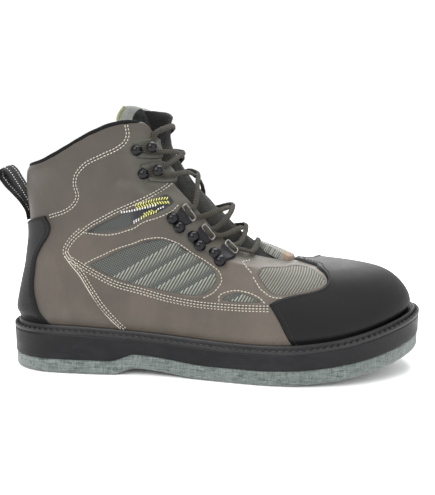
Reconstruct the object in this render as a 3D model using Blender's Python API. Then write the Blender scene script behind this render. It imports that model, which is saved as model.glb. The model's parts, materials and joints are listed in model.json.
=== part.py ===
"""A felt-soled wading boot for the right foot, standing empty on its sole.

Metres, +X to the toe, +Y to the medial (inner) side, +Z up. The origin is on the floor under
the middle of the heel. The upper is one function of a turn round the foot and a level from the
sole to the collar, and what lies on it or in it is taken from that function with an offset.
"""

import math

import bmesh
import bpy
import numpy as np

# The sole's sizes
SOLE_LENGTH = 0.328
BALL_WIDTH = 0.120
HEEL_CENTRE = 0.041
FELT_THICKNESS = 0.0115
FELT_ROUNDING = 0.0025
FELT_MARGIN = 0.0010
HEEL_STACK = 0.0372
HEEL_DROP = 0.0079
TOE_LIFT = 0.0020
ARCH_RISE = 0.0055
TOE_SPRING = 0.0195
WELT_THICKNESS = 0.0050
WELT_WIDTH = 0.0095
WELT_GROOVE = 0.0012
WELT_EDGE = 0.0008
LEDGE = 0.0055
GROOVE_OUT, GROOVE_IN = 0.0019, 0.0033
INSOLE_RISE = 0.0035

# The upper's sizes
BACK_HEIGHT = 0.160
FRONT_HEIGHT = 0.192
WALL = 0.0028
COLLAR_PADDING = 0.0035
CLEARANCE = 0.0003
OVERLAY_LIFT = 0.0012
OVERLAY = 0.0013
FITTING_LIFT = 0.0007
RECESS = 0.0009
ZIP_RECESS = 0.0016
BINDING_HEIGHT = 0.0020
BINDING_LIFT = 0.0005

# The tongue's, the lace's and the fittings' sizes
TONGUE_WALL = 0.0032
TONGUE_BULGE = 0.0050
TONGUE_RISE = 0.0150
TONGUE_DIP = 0.0060
TONGUE_LEAN = 0.0085
LACE_RADIUS = 0.0022
LACE_STAND = 0.0048
LACE_END = 0.0028
STUD_RADIUS = 0.0036
STUD_LIFT = 0.0010
STUD_HEIGHT = 0.0030
PLATE_THICKNESS = 0.0012
RING_WIRE = 0.0009
RING_STAND = 0.0030
RING_BACK, RING_FRONT = 0.0040, 0.0030
HOOK_POST = 0.0022
HOOK_HEIGHT = 0.0055
LOOP_WIDTH = 0.018
LOOP_THICKNESS = 0.0018
KEEPER_STAND = 0.0040

# Where the heel ends and the forefoot begins, as shares of the sole's length from its back
BREAST_START, BREAST_END = 0.265, 0.325
FOREFOOT_FLAT, SPRING_START = 0.50, 0.60
DROP_START, DROP_END = 0.12, 0.60
LIFT_START, LIFT_END = 0.70, 0.95
WIDTH_START, WIDTH_END = 0.30, 0.70

# Levels between which the wall fills with foam, the front of the oval softens, the rings tilt
# up to the collar, and the tongue swells between the throat's edges and leans out at its top
PADDING_START, PADDING_END = 0.60, 0.90
OVAL_START, OVAL_END = 0.55, 0.85
TILT_START = 0.75
SWELL_START, SWELL_END = 0.55, 0.65
LEAN_START, LEAN_END = 0.93, 1.06

# How finely a loop round the foot and the way up the upper are divided
TURNS = 48
LEVELS = 17
TURN_SPREAD = 0.12

# The sole's plan. Columns: share of its length from the back; half its width and the shift of
# its middle to the medial side, as shares of the ball's width, before the ends are rounded
SOLE_PLAN = (
    (0.00, 0.310, 0.000),
    (0.10, 0.335, 0.000),
    (0.20, 0.348, -0.005),
    (0.35, 0.338, -0.020),
    (0.45, 0.345, -0.042),
    (0.55, 0.390, -0.050),
    (0.63, 0.440, -0.036),
    (0.70, 0.476, -0.012),
    (0.77, 0.485, 0.015),
    (0.85, 0.478, 0.045),
    (0.93, 0.450, 0.070),
    (1.00, 0.410, 0.080),
)
HEEL_ROUND, TOE_ROUND = 0.13, 0.24
END_POWER = 2.3

# The upper's rings from the sole to the collar. Columns: place among the levels; the back's
# place along the sole's length; the back's height as a share of the way from the sole to the
# collar; the same two for the front; width of the foot's plan at the heel and at the ball;
# width of the oval shaft as a share of the ball's width; how far the ring is oval; how far it
# follows the sole's top
RINGS = (
    (0.00, 0.017, 0.000, 0.983, 0.000, 1.00, 1.00, 0.33, 0.00, 1.00),
    (0.06, 0.014, 0.072, 0.985, 0.040, 1.06, 1.03, 0.36, 0.00, 1.00),
    (0.13, 0.020, 0.160, 0.976, 0.100, 1.08, 1.01, 0.36, 0.00, 0.85),
    (0.20, 0.029, 0.260, 0.954, 0.163, 1.07, 0.98, 0.36, 0.00, 0.65),
    (0.27, 0.038, 0.357, 0.924, 0.203, 1.05, 0.92, 0.36, 0.02, 0.42),
    (0.35, 0.044, 0.454, 0.872, 0.224, 1.04, 0.85, 0.350, 0.10, 0.24),
    (0.43, 0.049, 0.550, 0.802, 0.231, 1.03, 0.79, 0.345, 0.25, 0.12),
    (0.51, 0.049, 0.634, 0.726, 0.242, 1.03, 0.76, 0.342, 0.45, 0.05),
    (0.59, 0.047, 0.715, 0.649, 0.285, 1.03, 0.75, 0.340, 0.65, 0.00),
    (0.67, 0.044, 0.788, 0.582, 0.375, 1.03, 0.75, 0.337, 0.80, 0.00),
    (0.75, 0.043, 0.853, 0.521, 0.520, 1.03, 0.75, 0.334, 0.92, 0.00),
    (0.83, 0.044, 0.910, 0.460, 0.680, 1.03, 0.75, 0.333, 1.00, 0.00),
    (0.91, 0.047, 0.960, 0.415, 0.840, 1.03, 0.75, 0.338, 1.00, 0.00),
    (1.00, 0.053, 1.000, 0.390, 1.000, 1.03, 0.75, 0.345, 1.00, 0.00),
)
OVAL_POWER = 2.3
OVAL_EASE = 0.5
RISE_END = 0.80
WAIST_EASE, WAIST_END = 0.75, 0.30

# The throat's opening. Columns: level; half its width as a turn from the front
THROAT = (
    (0.530, 0.012),
    (0.550, 0.045),
    (0.575, 0.068),
    (0.600, 0.082),
    (0.650, 0.089),
    (0.750, 0.089),
    (0.850, 0.089),
    (0.920, 0.083),
    (1.000, 0.066),
)

# Mesh windows and the slit, each a recess in the wall. Columns: turn back from the front; the
# levels of the lower and the upper edge
SIDE_WINDOW = (
    (0.198, 0.592, 0.602),
    (0.208, 0.520, 0.601),
    (0.218, 0.440, 0.597),
    (0.227, 0.335, 0.588),
    (0.240, 0.252, 0.570),
    (0.256, 0.204, 0.548),
    (0.282, 0.208, 0.500),
    (0.303, 0.222, 0.460),
    (0.325, 0.232, 0.418),
    (0.346, 0.260, 0.368),
    (0.360, 0.290, 0.336),
    (0.367, 0.316, 0.322),
)
BALL_WINDOW = (
    (0.194, 0.200, 0.202),
    (0.204, 0.196, 0.224),
    (0.213, 0.196, 0.230),
    (0.223, 0.196, 0.222),
    (0.232, 0.197, 0.199),
)
VAMP_WINDOW = (
    (0.060, 0.480, 0.494),
    (0.075, 0.440, 0.492),
    (0.095, 0.385, 0.474),
    (0.108, 0.326, 0.465),
    (0.118, 0.290, 0.458),
    (0.135, 0.262, 0.444),
    (0.155, 0.243, 0.402),
    (0.170, 0.234, 0.360),
    (0.178, 0.250, 0.326),
    (0.182, 0.272, 0.300),
)
SLIT = (
    (0.123, 0.780, 0.798),
    (0.144, 0.758, 0.788),
    (0.177, 0.732, 0.768),
    (0.218, 0.700, 0.736),
    (0.249, 0.656, 0.708),
    (0.280, 0.612, 0.668),
    (0.305, 0.570, 0.628),
    (0.330, 0.545, 0.578),
    (0.354, 0.514, 0.520),
)

# The toe cap. Columns: share of its half width from the ridge; level of its upper edge
TOE_CAP = (
    (0.00, 0.535),
    (0.08, 0.533),
    (0.13, 0.510),
    (0.25, 0.468),
    (0.40, 0.420),
    (0.54, 0.342),
    (0.61, 0.294),
    (0.68, 0.262),
    (0.76, 0.246),
    (0.84, 0.236),
    (0.94, 0.214),
    (1.00, 0.192),
)
CAP_TURN_LOW, CAP_TURN_HIGH = 0.170, 0.186
OVERLAY_FOOT = 0.02

# How far from the throat's edge the binding stops, as a turn, and how far its top is drawn in
BINDING_GAP = 0.004
BINDING_TAPER = 0.2

# The heel strip. Columns: level; half its width as a turn from the back
HEEL_STRIP = (
    (0.02, 0.086),
    (0.05, 0.080),
    (0.12, 0.070),
    (0.18, 0.062),
    (0.25, 0.058),
    (0.31, 0.058),
    (0.39, 0.069),
    (0.46, 0.084),
    (0.52, 0.092),
    (0.585, 0.088),
)
STRIP_DIP = 0.15

# The tongue. Columns: level; half widths to the lateral and the medial side as turns
TONGUE = (
    (0.480, 0.055, 0.055),
    (0.600, 0.115, 0.115),
    (0.700, 0.130, 0.130),
    (0.850, 0.135, 0.145),
    (1.000, 0.135, 0.175),
    (1.060, 0.130, 0.180),
    (1.120, 0.105, 0.165),
)
TONGUE_TOP = 1.120
SWELL_WIDTH = 0.8
DIP_HALF = 0.09

# Ring plates. Columns: turns back from the front and levels of the upper and lower stud, then
# of the ring's upper and lower end
RING_PLATES = (
    (0.151, 0.722, 0.152, 0.692, 0.110, 0.762, 0.113, 0.728),
    (0.144, 0.658, 0.156, 0.606, 0.106, 0.702, 0.111, 0.664),
    (0.156, 0.556, 0.182, 0.470, 0.098, 0.640, 0.109, 0.592),
)
# How far a plate runs from its studs to its ring, and from the upper to the lower stud
PLATE_RUN = (-0.25, 0.88)
PLATE_OVER = (-0.24, 1.20)

# Hooks. Columns: turn and level of the rivet, then of the hook's knob
HOOKS = (
    (0.144, 0.858, 0.114, 0.862),
    (0.135, 0.922, 0.103, 0.926),
)
HOOK_RUN = (-0.20, 1.10)
HOOK_HALF = 0.011

# How far below the lowest ring and above the top hook the first and last pass lie, as levels
FOOT_DROP, TOP_RISE = 0.032, 0.030

# How far inside a ring and a hook a pass ends, as turns; how far over one stop and under the next
# a crossing runs, as levels; how much of a pass it takes to climb to its full stand
RING_PASS, HOOK_PASS = 0.016, 0.022
PASS_RISE = 0.012
LACE_CLIMB = 0.25

# The keeper's half width as a turn and the levels of its upper and lower edge
KEEPER_HALF = 0.028
KEEPER_HIGH, KEEPER_LOW = 0.552, 0.538

# The pull loop's foot as a share of the back's height, and its middle line from there out over
# the fold and back, in metres behind the seam and above the foot
LOOP_FOOT = 0.731
LOOP_LINE = (
    (0.0016, 0.0000),
    (0.0026, 0.0065),
    (0.0062, 0.0140),
    (0.0125, 0.0225),
    (0.0190, 0.0300),
    (0.0225, 0.0360),
    (0.0226, 0.0398),
    (0.0202, 0.0415),
    (0.0175, 0.0398),
    (0.0125, 0.0325),
    (0.0068, 0.0230),
    (0.0018, 0.0130),
)


def smooth(low, high, value):
    """A ramp from 0 at low to 1 at high with level ends."""
    t = np.clip((np.asarray(value, float) - low) / (high - low), 0.0, 1.0)
    return t * t * (3.0 - 2.0 * t)


def through(table, column, at):
    """A smooth curve through one column of a table whose first column rises, read at these places."""
    xs = np.array([row[0] for row in table], float)
    ys = np.array([row[column] for row in table], float)
    slopes = np.gradient(ys, xs)
    at = np.clip(np.asarray(at, float), xs[0], xs[-1])
    i = np.clip(np.searchsorted(xs, at, side="right") - 1, 0, len(xs) - 2)
    span = xs[i + 1] - xs[i]
    t = (at - xs[i]) / span
    return (
        (2 * t**3 - 3 * t**2 + 1) * ys[i]
        + (t**3 - 2 * t**2 + t) * span * slopes[i]
        + (3 * t**2 - 2 * t**3) * ys[i + 1]
        + (t**3 - t**2) * span * slopes[i + 1]
    )


def spring(share):
    """How far the sole's line is lifted towards the toe."""
    t = np.clip((np.asarray(share, float) - SPRING_START) / (1.0 - SPRING_START), 0.0, 1.0)
    return TOE_SPRING * t * t


def ground(share):
    """The felt's underside: flat heel, a step up to the arch, flat forefoot, then the toe spring."""
    arch = smooth(BREAST_START, BREAST_END, share) * (1.0 - smooth(BREAST_END, FOREFOOT_FLAT, share))
    return ARCH_RISE * arch + spring(share)


def seat(share):
    """The top of the sole, which the upper stands on."""
    drop = HEEL_DROP * smooth(DROP_START, DROP_END, share)
    return HEEL_STACK - drop + TOE_LIFT * smooth(LIFT_START, LIFT_END, share) + spring(share)


def round_ends(share, heel_round, toe_round):
    """A factor that falls to 0 at both ends of a plan, a little fuller than quarter ellipses."""
    heel = np.clip(1.0 - share / heel_round, 0.0, 1.0) ** END_POWER
    toe = np.clip((share - 1.0 + toe_round) / toe_round, 0.0, 1.0) ** END_POWER
    return ((1.0 - heel) * (1.0 - toe)) ** (1.0 / END_POWER)


def turn_share(turn):
    """Place along a ring, 0 at the back and 1 at the front, for a turn that starts at the toe."""
    angle = 2.0 * math.pi * np.asarray(turn, float)
    angle = angle + TURN_SPREAD * np.sin(2.0 * angle)
    return (1.0 + np.cos(angle)) / 2.0, np.where(np.sin(angle) >= 0.0, 1.0, -1.0)


def sole_loop(inset, count=TURNS):
    """The sole's outline, this far inside its edge: places along the length, x and y."""
    share, side = turn_share(np.arange(count) / count)
    x = -HEEL_CENTRE + inset + share * (SOLE_LENGTH - 2.0 * inset)
    half = through(SOLE_PLAN, 1, share) * BALL_WIDTH - inset
    middle = through(SOLE_PLAN, 2, share) * BALL_WIDTH
    y = middle + side * half * round_ends(share, HEEL_ROUND, TOE_ROUND)
    return (x + HEEL_CENTRE) / SOLE_LENGTH, x, y


def upper_surface(turn, level):
    """A point of the upper's outer face, for a turn round the foot and a level up the upper."""
    turn, level = np.broadcast_arrays(np.asarray(turn, float), np.asarray(level, float))
    share, side = turn_share(turn)
    back_x, back_up, front_x, front_up, heel_wide, ball_wide, oval_wide, oval, follow = (
        through(RINGS, column, level) for column in range(1, 10)
    )
    x = -HEEL_CENTRE + SOLE_LENGTH * (back_x + share * (front_x - back_x))
    place = (x + HEEL_CENTRE) / SOLE_LENGTH
    wide = heel_wide + (ball_wide - heel_wide) * smooth(WIDTH_START, WIDTH_END, share)
    half = through(SOLE_PLAN, 1, share) * BALL_WIDTH * wide - LEDGE
    foot = half * round_ends(share, HEEL_ROUND, TOE_ROUND)
    soft = (1.0 - smooth(OVAL_START, OVAL_END, level)) * smooth(0.5, 1.0, share)
    power = OVAL_POWER - OVAL_EASE * soft
    ellipse = (1.0 - np.abs(2.0 * share - 1.0) ** power) ** (1.0 / power)
    shaft = oval_wide * BALL_WIDTH * ellipse
    middle = through(SOLE_PLAN, 2, share) * BALL_WIDTH * (1.0 - oval)
    waist = 1.0 - WAIST_EASE * smooth(0.0, WAIST_END, level)
    middle = np.where(middle < 0.0, middle * waist, middle)
    y = middle + side * (foot + (shaft - foot) * oval)
    back_z = HEEL_STACK + CLEARANCE + back_up * (BACK_HEIGHT - HEEL_STACK)
    toe_seat = float(seat(1.0))
    front_z = toe_seat + CLEARANCE + front_up * (FRONT_HEIGHT - toe_seat)
    shaft_like = smooth(TILT_START, 1.0, level)
    vamp = (share + smooth(0.0, 1.0, share)) / 2.0
    rise = vamp + (smooth(0.0, RISE_END, share) - vamp) * shaft_like
    straight = back_z + (front_z - back_z) * rise
    lift = (back_z - HEEL_STACK) + share * ((front_z - toe_seat) - (back_z - HEEL_STACK))
    z = straight + follow * (seat(place) + lift - straight)
    return np.stack([x, y, z], axis=-1)


def upper_normal(turn, level):
    """The outward direction of the upper's face, from small steps along the turn and the level."""
    step = 0.004
    low, high = np.clip(level - step, 0.0, 1.0), np.clip(level + step, 0.0, 1.0)
    along = upper_surface(turn + step, level) - upper_surface(turn - step, level)
    up = upper_surface(turn, high) - upper_surface(turn, low)
    normal = np.cross(along, up)
    return normal / np.linalg.norm(normal, axis=-1, keepdims=True)


def upper_offset(turn, level, out):
    """The upper's face moved outwards by this much."""
    turn, level = np.broadcast_arrays(np.asarray(turn, float), np.asarray(level, float))
    return upper_surface(turn, level) + upper_normal(turn, level) * np.asarray(out)[..., None]


def beyond(turn, level):
    """The upper's face, carried on straight above the collar as the tongue needs."""
    turn, level = np.broadcast_arrays(np.asarray(turn, float), np.asarray(level, float))
    over = np.clip(level - 1.0, 0.0, 1.0) / (TONGUE_TOP - 1.0)
    lean = upper_surface(turn, 1.0) - upper_surface(turn, 0.97)
    lean = lean / np.linalg.norm(lean, axis=-1, keepdims=True)
    point = upper_surface(turn, np.minimum(level, 1.0)) + lean * (over * TONGUE_RISE)[..., None]
    return point, upper_normal(turn, np.minimum(level, 1.0))


def collection(name):
    """A new collection in the scene."""
    made = bpy.data.collections.new(name)
    bpy.context.scene.collection.children.link(made)
    return made


def material(name, colour, roughness, metallic=0.0):
    """A Principled material of one colour."""
    made = bpy.data.materials.new(name)
    made.use_nodes = True
    shader = made.node_tree.nodes["Principled BSDF"]
    shader.inputs["Base Color"].default_value = (*colour, 1.0)
    shader.inputs["Roughness"].default_value = roughness
    shader.inputs["Metallic"].default_value = metallic
    return made


def add_piece(name, verts, faces, finish, group):
    """An object from points and faces, with its normals turned outwards."""
    mesh = bpy.data.meshes.new(name)
    mesh.from_pydata([tuple(map(float, v)) for v in verts], [], [tuple(map(int, f)) for f in faces])
    work = bmesh.new()
    work.from_mesh(mesh)
    bmesh.ops.remove_doubles(work, verts=work.verts, dist=0.00001)
    bmesh.ops.recalc_face_normals(work, faces=work.faces)
    work.to_mesh(mesh)
    work.free()
    mesh.shade_smooth()
    mesh.set_sharp_from_angle(angle=math.radians(40.0))
    made = bpy.data.objects.new(name, mesh)
    made.data.materials.append(finish)
    group.objects.link(made)
    return made


def tube_faces(rows, count, closed_rows=False):
    """Faces of a grid of rows whose points close into loops."""
    i = np.arange(rows if closed_rows else rows - 1)[:, None]
    j = np.arange(count)[None, :]
    i2, j2 = (i + 1) % rows, (j + 1) % count
    quads = np.stack([i * count + j, i * count + j2, i2 * count + j2, i2 * count + j], axis=-1)
    return [tuple(q) for q in quads.reshape(-1, 4)]


def cap_faces(first, count):
    """Faces across a loop that starts at its toe, joining each point to the one over the way."""
    faces = []
    for k in range(count // 2):
        quad = [first + k, first + (k + 1), first + (count - k - 1) % count, first + (count - k) % count]
        corners = list(dict.fromkeys(quad))
        if len(corners) > 2:
            faces.append(tuple(corners))
    return faces


def slab(name, layers, finish, group):
    """A closed solid from loops that lie one over another, capped below and above."""
    layers = np.asarray(layers)
    rows, count = layers.shape[:2]
    faces = tube_faces(rows, count) + cap_faces(0, count) + cap_faces((rows - 1) * count, count)
    return add_piece(name, layers.reshape(-1, 3), faces, finish, group)


def ring_solid(name, loops, finish, group):
    """A closed band from loops that follow one another round its section."""
    loops = np.asarray(loops)
    rows, count = loops.shape[:2]
    return add_piece(name, loops.reshape(-1, 3), tube_faces(rows, count, True), finish, group)


def felt_loop(inset, rise):
    """A loop of the sole this far inside its edge and this far over the felt's underside."""
    share, x, y = sole_loop(inset)
    return np.stack([x, y, ground(share) + rise], axis=-1)


def seat_loop(inset, rise):
    """A loop of the sole this far inside its edge and this far over the sole's top."""
    share, x, y = sole_loop(inset)
    return np.stack([x, y, seat(share) + rise], axis=-1)


def make_sole(group):
    """Felt, midsole and welt, one on another."""
    felt = material("felt", (0.15, 0.19, 0.18), 0.95)
    rubber = material("rubber", (0.012, 0.012, 0.013), 0.45)
    slab(
        "outsole_felt",
        [
            felt_loop(FELT_MARGIN + FELT_ROUNDING, 0.0),
            felt_loop(FELT_MARGIN, FELT_ROUNDING),
            felt_loop(FELT_MARGIN, FELT_THICKNESS),
        ],
        felt,
        group,
    )
    slab(
        "midsole",
        [
            felt_loop(0.0, FELT_THICKNESS + CLEARANCE),
            seat_loop(0.0, -WELT_THICKNESS - CLEARANCE),
        ],
        rubber,
        group,
    )
    ring_solid(
        "welt",
        [
            seat_loop(0.0, -WELT_THICKNESS),
            seat_loop(0.0, -WELT_GROOVE),
            seat_loop(WELT_EDGE, 0.0),
            seat_loop(GROOVE_OUT, -WELT_GROOVE),
            seat_loop(GROOVE_IN, -WELT_GROOVE),
            seat_loop(LEDGE - CLEARANCE, 0.0),
            seat_loop(WELT_WIDTH, 0.0),
            seat_loop(WELT_WIDTH, -WELT_THICKNESS),
        ],
        rubber,
        group,
    )


def make_insole(group):
    """The footbed, which drops through the welt's opening on to the midsole."""
    cloth = material("footbed", (0.05, 0.05, 0.05), 0.9)
    inset = WELT_WIDTH + CLEARANCE
    slab(
        "insole",
        [seat_loop(inset, -WELT_THICKNESS), seat_loop(inset, INSOLE_RISE)],
        cloth,
        group,
    )


def padding(level):
    """The wall's thickness, with the foam that fills the shaft under its collar."""
    return WALL + COLLAR_PADDING * smooth(PADDING_START, PADDING_END, level)


def patch_loops(turn, level, low, high):
    """Outer and inner grids of a piece that lies on the upper between two offsets."""
    point, normal = beyond(turn, level)
    low = np.broadcast_to(low, point.shape[:-1])[..., None]
    high = np.broadcast_to(high, point.shape[:-1])[..., None]
    return point + normal * high, point + normal * low


def patch(name, turn, level, low, high, finish, group):
    """A closed solid over a grid of turns and levels, between two offsets from the upper's face."""
    outer, inner = patch_loops(turn, level, low, high)
    rows, columns = outer.shape[:2]
    verts = np.concatenate([outer.reshape(-1, 3), inner.reshape(-1, 3)])
    back = rows * columns

    def at(i, j):
        return i * columns + j

    faces = []
    for i in range(rows - 1):
        for j in range(columns - 1):
            quad = (at(i, j), at(i, j + 1), at(i + 1, j + 1), at(i + 1, j))
            faces.append(quad)
            faces.append(tuple(back + k for k in reversed(quad)))
    rim = [at(0, j) for j in range(columns)]
    rim += [at(i, columns - 1) for i in range(1, rows)]
    rim += [at(rows - 1, j) for j in range(columns - 2, -1, -1)]
    rim += [at(i, 0) for i in range(rows - 2, 0, -1)]
    for a, b in zip(rim, rim[1:] + rim[:1]):
        faces.append((b, a, back + a, back + b))
    return add_piece(name, verts, faces, finish, group)


def window_grid(table, side, rows, columns):
    """Turns and levels over a window whose table runs back from the front, on one side."""
    along = np.linspace(table[0][0], table[-1][0], columns)
    low, high = through(table, 1, along), through(table, 2, along)
    up = np.linspace(0.0, 1.0, rows)[:, None]
    return np.broadcast_to(side * along, (rows, columns)), low + (high - low) * up


def combine(target, tool, operation):
    """Apply an exact Boolean of one mesh object on another and drop the modifier."""
    change = target.modifiers.new("change", "BOOLEAN")
    change.operation = operation
    change.object = tool
    change.solver = "EXACT"
    graph = bpy.context.evaluated_depsgraph_get()
    mesh = bpy.data.meshes.new_from_object(target.evaluated_get(graph))
    target.modifiers.clear()
    target.data = mesh


def cut(target, tool):
    """Cut one object out of another and keep the cutter as a hidden wire."""
    combine(target, tool, "DIFFERENCE")
    tool.hide_render = True
    tool.display_type = "WIRE"


def join(target, tool):
    """Join one object to another and remove the one that was added."""
    combine(target, tool, "UNION")
    bpy.data.objects.remove(tool)


def make_upper(group, cutters, leather):
    """The hollow upper, open at the collar, down the throat and over the sole."""
    turn = np.arange(TURNS) / TURNS
    levels = np.linspace(0.0, 1.0, LEVELS)
    outer = [upper_offset(turn, lv, np.zeros(TURNS)) for lv in levels]
    inner = [upper_offset(turn, lv, -padding(lv) * np.ones(TURNS)) for lv in levels]
    upper = ring_solid("upper", outer + inner[::-1], leather, group)
    level = np.linspace(THROAT[0][0], 1.0, 10)
    half = through(THROAT, 1, level)
    grid = half[:, None] * np.linspace(-1.0, 1.0, 5)
    depth = WALL + COLLAR_PADDING + OVERLAY
    throat = throat_cutter(grid, level, depth, leather, cutters)
    cut(upper, throat)
    for table, name, depth in (
        (SIDE_WINDOW, "side_window", RECESS),
        (BALL_WINDOW, "ball_window", RECESS),
        (VAMP_WINDOW, "vamp_window", RECESS),
        (SLIT, "slit", ZIP_RECESS),
    ):
        for side, word in ((-1.0, "lateral"), (1.0, "medial")):
            turn, rise = window_grid(table, side, 3, 11)
            tool = patch(f"{name}_{word}", turn, rise, -depth, OVERLAY, leather, cutters)
            cut(upper, tool)
    return upper


def throat_cutter(turn, level, depth, finish, group):
    """The throat's opening as a solid that runs out over the collar."""
    rise = np.broadcast_to(level[:, None], turn.shape)
    outer, inner = patch_loops(turn, rise, -depth, depth)
    top = np.array([0.0, 0.0, FRONT_HEIGHT - BACK_HEIGHT])
    outer = np.concatenate([outer, outer[-1:] + top])
    inner = np.concatenate([inner, inner[-1:] + top])
    loops = [np.concatenate([o, i[::-1]]) for o, i in zip(outer, inner)]
    return strip_solid("throat", loops, finish, group)


def strip_solid(name, loops, finish, group):
    """A closed solid from flat sections that go out along one face and back along the other."""
    loops = np.asarray(loops)
    rows, count = loops.shape[:2]
    faces = tube_faces(rows, count)
    for first in (0, (rows - 1) * count):
        for k in range(count // 2 - 1):
            faces.append((first + k, first + k + 1, first + count - k - 2, first + count - k - 1))
    return add_piece(name, loops.reshape(-1, 3), faces, finish, group)


def make_tongue(group, cloth):
    """The padded tongue, under the throat's edges and bulging up between them, with its wings."""
    level = np.linspace(TONGUE[0][0], TONGUE_TOP, 12)
    share = np.linspace(-1.0, 1.0, 11)
    lateral, medial = through(TONGUE, 1, level), through(TONGUE, 2, level)
    turn = np.where(share < 0.0, lateral[:, None], medial[:, None]) * share
    rise = np.broadcast_to(level[:, None], turn.shape)
    deep = padding(rise) + OVERLAY_LIFT + CLEARANCE
    gap = through(THROAT, 1, np.clip(rise, THROAT[0][0], 1.0)) * SWELL_WIDTH
    swell = np.clip(1.0 - (turn / gap) ** 2, 0.0, 1.0)
    lean = TONGUE_LEAN * smooth(LEAN_START, LEAN_END, rise)
    swell = swell * (TONGUE_BULGE * smooth(SWELL_START, SWELL_END, rise) + lean)
    outer, inner = patch_loops(turn, rise, -deep - TONGUE_WALL, -deep + swell)
    dip = TONGUE_DIP * (1.0 - smooth(0.0, DIP_HALF, np.abs(turn))) * smooth(1.0, TONGUE_TOP, rise)
    outer[..., 2] -= dip
    inner[..., 2] -= dip
    loops = [np.concatenate([o, i[::-1]]) for o, i in zip(outer, inner)]
    strip_solid("tongue", loops, cloth, group)


def make_overlays(group, rubber):
    """The toe cap and the heel strip, which lie on the upper."""
    share = np.linspace(-1.0, 1.0, 25)
    up = np.linspace(0.0, 1.0, 7)[:, None]
    turn = share * (CAP_TURN_LOW + (CAP_TURN_HIGH - CAP_TURN_LOW) * up)
    level = OVERLAY_FOOT + (through(TOE_CAP, 1, np.abs(share)) - OVERLAY_FOOT) * up
    patch("toe_cap", turn, level, OVERLAY_LIFT, OVERLAY_LIFT + OVERLAY, rubber, group)
    level = np.linspace(HEEL_STRIP[0][0], HEEL_STRIP[-1][0], 10)
    half = through(HEEL_STRIP, 1, level)
    across = np.linspace(-1.0, 1.0, 9)
    turn = 0.5 + half[:, None] * across
    dip = STRIP_DIP * (1.0 - np.abs(across))
    level = OVERLAY_FOOT + (level[:, None] - OVERLAY_FOOT) * (1.0 - dip)
    patch("heel_strip", turn, level, OVERLAY_LIFT, OVERLAY_LIFT + OVERLAY, rubber, group)


def make_binding(group, rubber):
    """The piping on the collar's rim, from one side of the throat round the back to the other."""
    start = THROAT[-1][1] + BINDING_GAP
    turn = np.linspace(start, 1.0 - start, 25)
    rim_out = upper_offset(turn, 1.0, 0.0 * turn)
    rim_in = upper_offset(turn, 1.0, -padding(1.0) + 0.0 * turn)
    gap = np.array([0.0, 0.0, BINDING_LIFT])
    top = np.array([0.0, 0.0, BINDING_LIFT + BINDING_HEIGHT])
    middle = (rim_out + rim_in) / 2.0
    outer = [rim_out + gap, middle + gap, rim_in + gap]
    taper = (rim_in - rim_out) * BINDING_TAPER
    inner = [rim_out + taper + top, middle + top * (1.0 + BINDING_TAPER), rim_in - taper + top]
    loops = np.stack(outer + inner[::-1], axis=1)
    strip_solid("collar_binding", loops, rubber, group)


def frame_at(turn, level, out):
    """A point over the upper with its directions across, up and outwards."""
    point = upper_offset(turn, level, out)
    normal = upper_normal(turn, level)
    up = upper_surface(turn, level + 0.01) - upper_surface(turn, level - 0.01)
    up = up - normal * float(up @ normal)
    up = up / np.linalg.norm(up)
    return point, np.cross(up, normal), up, normal


def turned(name, frame, profile, finish, group, count=8):
    """A turned solid from radii and heights, standing on the upper."""
    point, across, up, normal = frame
    angle = 2.0 * math.pi * np.arange(count) / count
    layers = [
        point + normal * height + radius * (np.cos(angle)[:, None] * across + np.sin(angle)[:, None] * up)
        for radius, height in profile
    ]
    return slab(name, layers, finish, group)


def dome_profile(radius, height, steps=2):
    """Radii and heights of a dome with an upright rim."""
    angle = np.linspace(0.0, math.pi / 2.0, steps + 1)[:-1]
    rim = height * 0.25
    rows = [(radius, 0.0)]
    rows += [(radius * math.cos(a), rim + (height - rim) * math.sin(a)) for a in angle]
    rows.append((radius * 0.12, height))
    return rows


def wire(name, points, radius, finish, group, cyclic=False, resolution=2):
    """A round wire or cord along these points, as a closed mesh."""
    curve = bpy.data.curves.new(name, "CURVE")
    curve.dimensions = "3D"
    curve.bevel_depth = radius
    curve.bevel_resolution = resolution
    curve.use_fill_caps = True
    line = curve.splines.new("POLY")
    line.points.add(len(points) - 1)
    for place, point in zip(line.points, points):
        place.co = (*map(float, point), 1.0)
    line.use_cyclic_u = cyclic
    holder = bpy.data.objects.new(name, curve)
    group.objects.link(holder)
    graph = bpy.context.evaluated_depsgraph_get()
    mesh = bpy.data.meshes.new_from_object(holder.evaluated_get(graph))
    bpy.data.objects.remove(holder)
    work = bmesh.new()
    work.from_mesh(mesh)
    bmesh.ops.remove_doubles(work, verts=work.verts, dist=0.00001)
    bmesh.ops.recalc_face_normals(work, faces=work.faces)
    work.to_mesh(mesh)
    work.free()
    mesh.shade_smooth()
    mesh.materials.clear()
    mesh.materials.append(finish)
    made = bpy.data.objects.new(name, mesh)
    group.objects.link(made)
    return made


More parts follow.
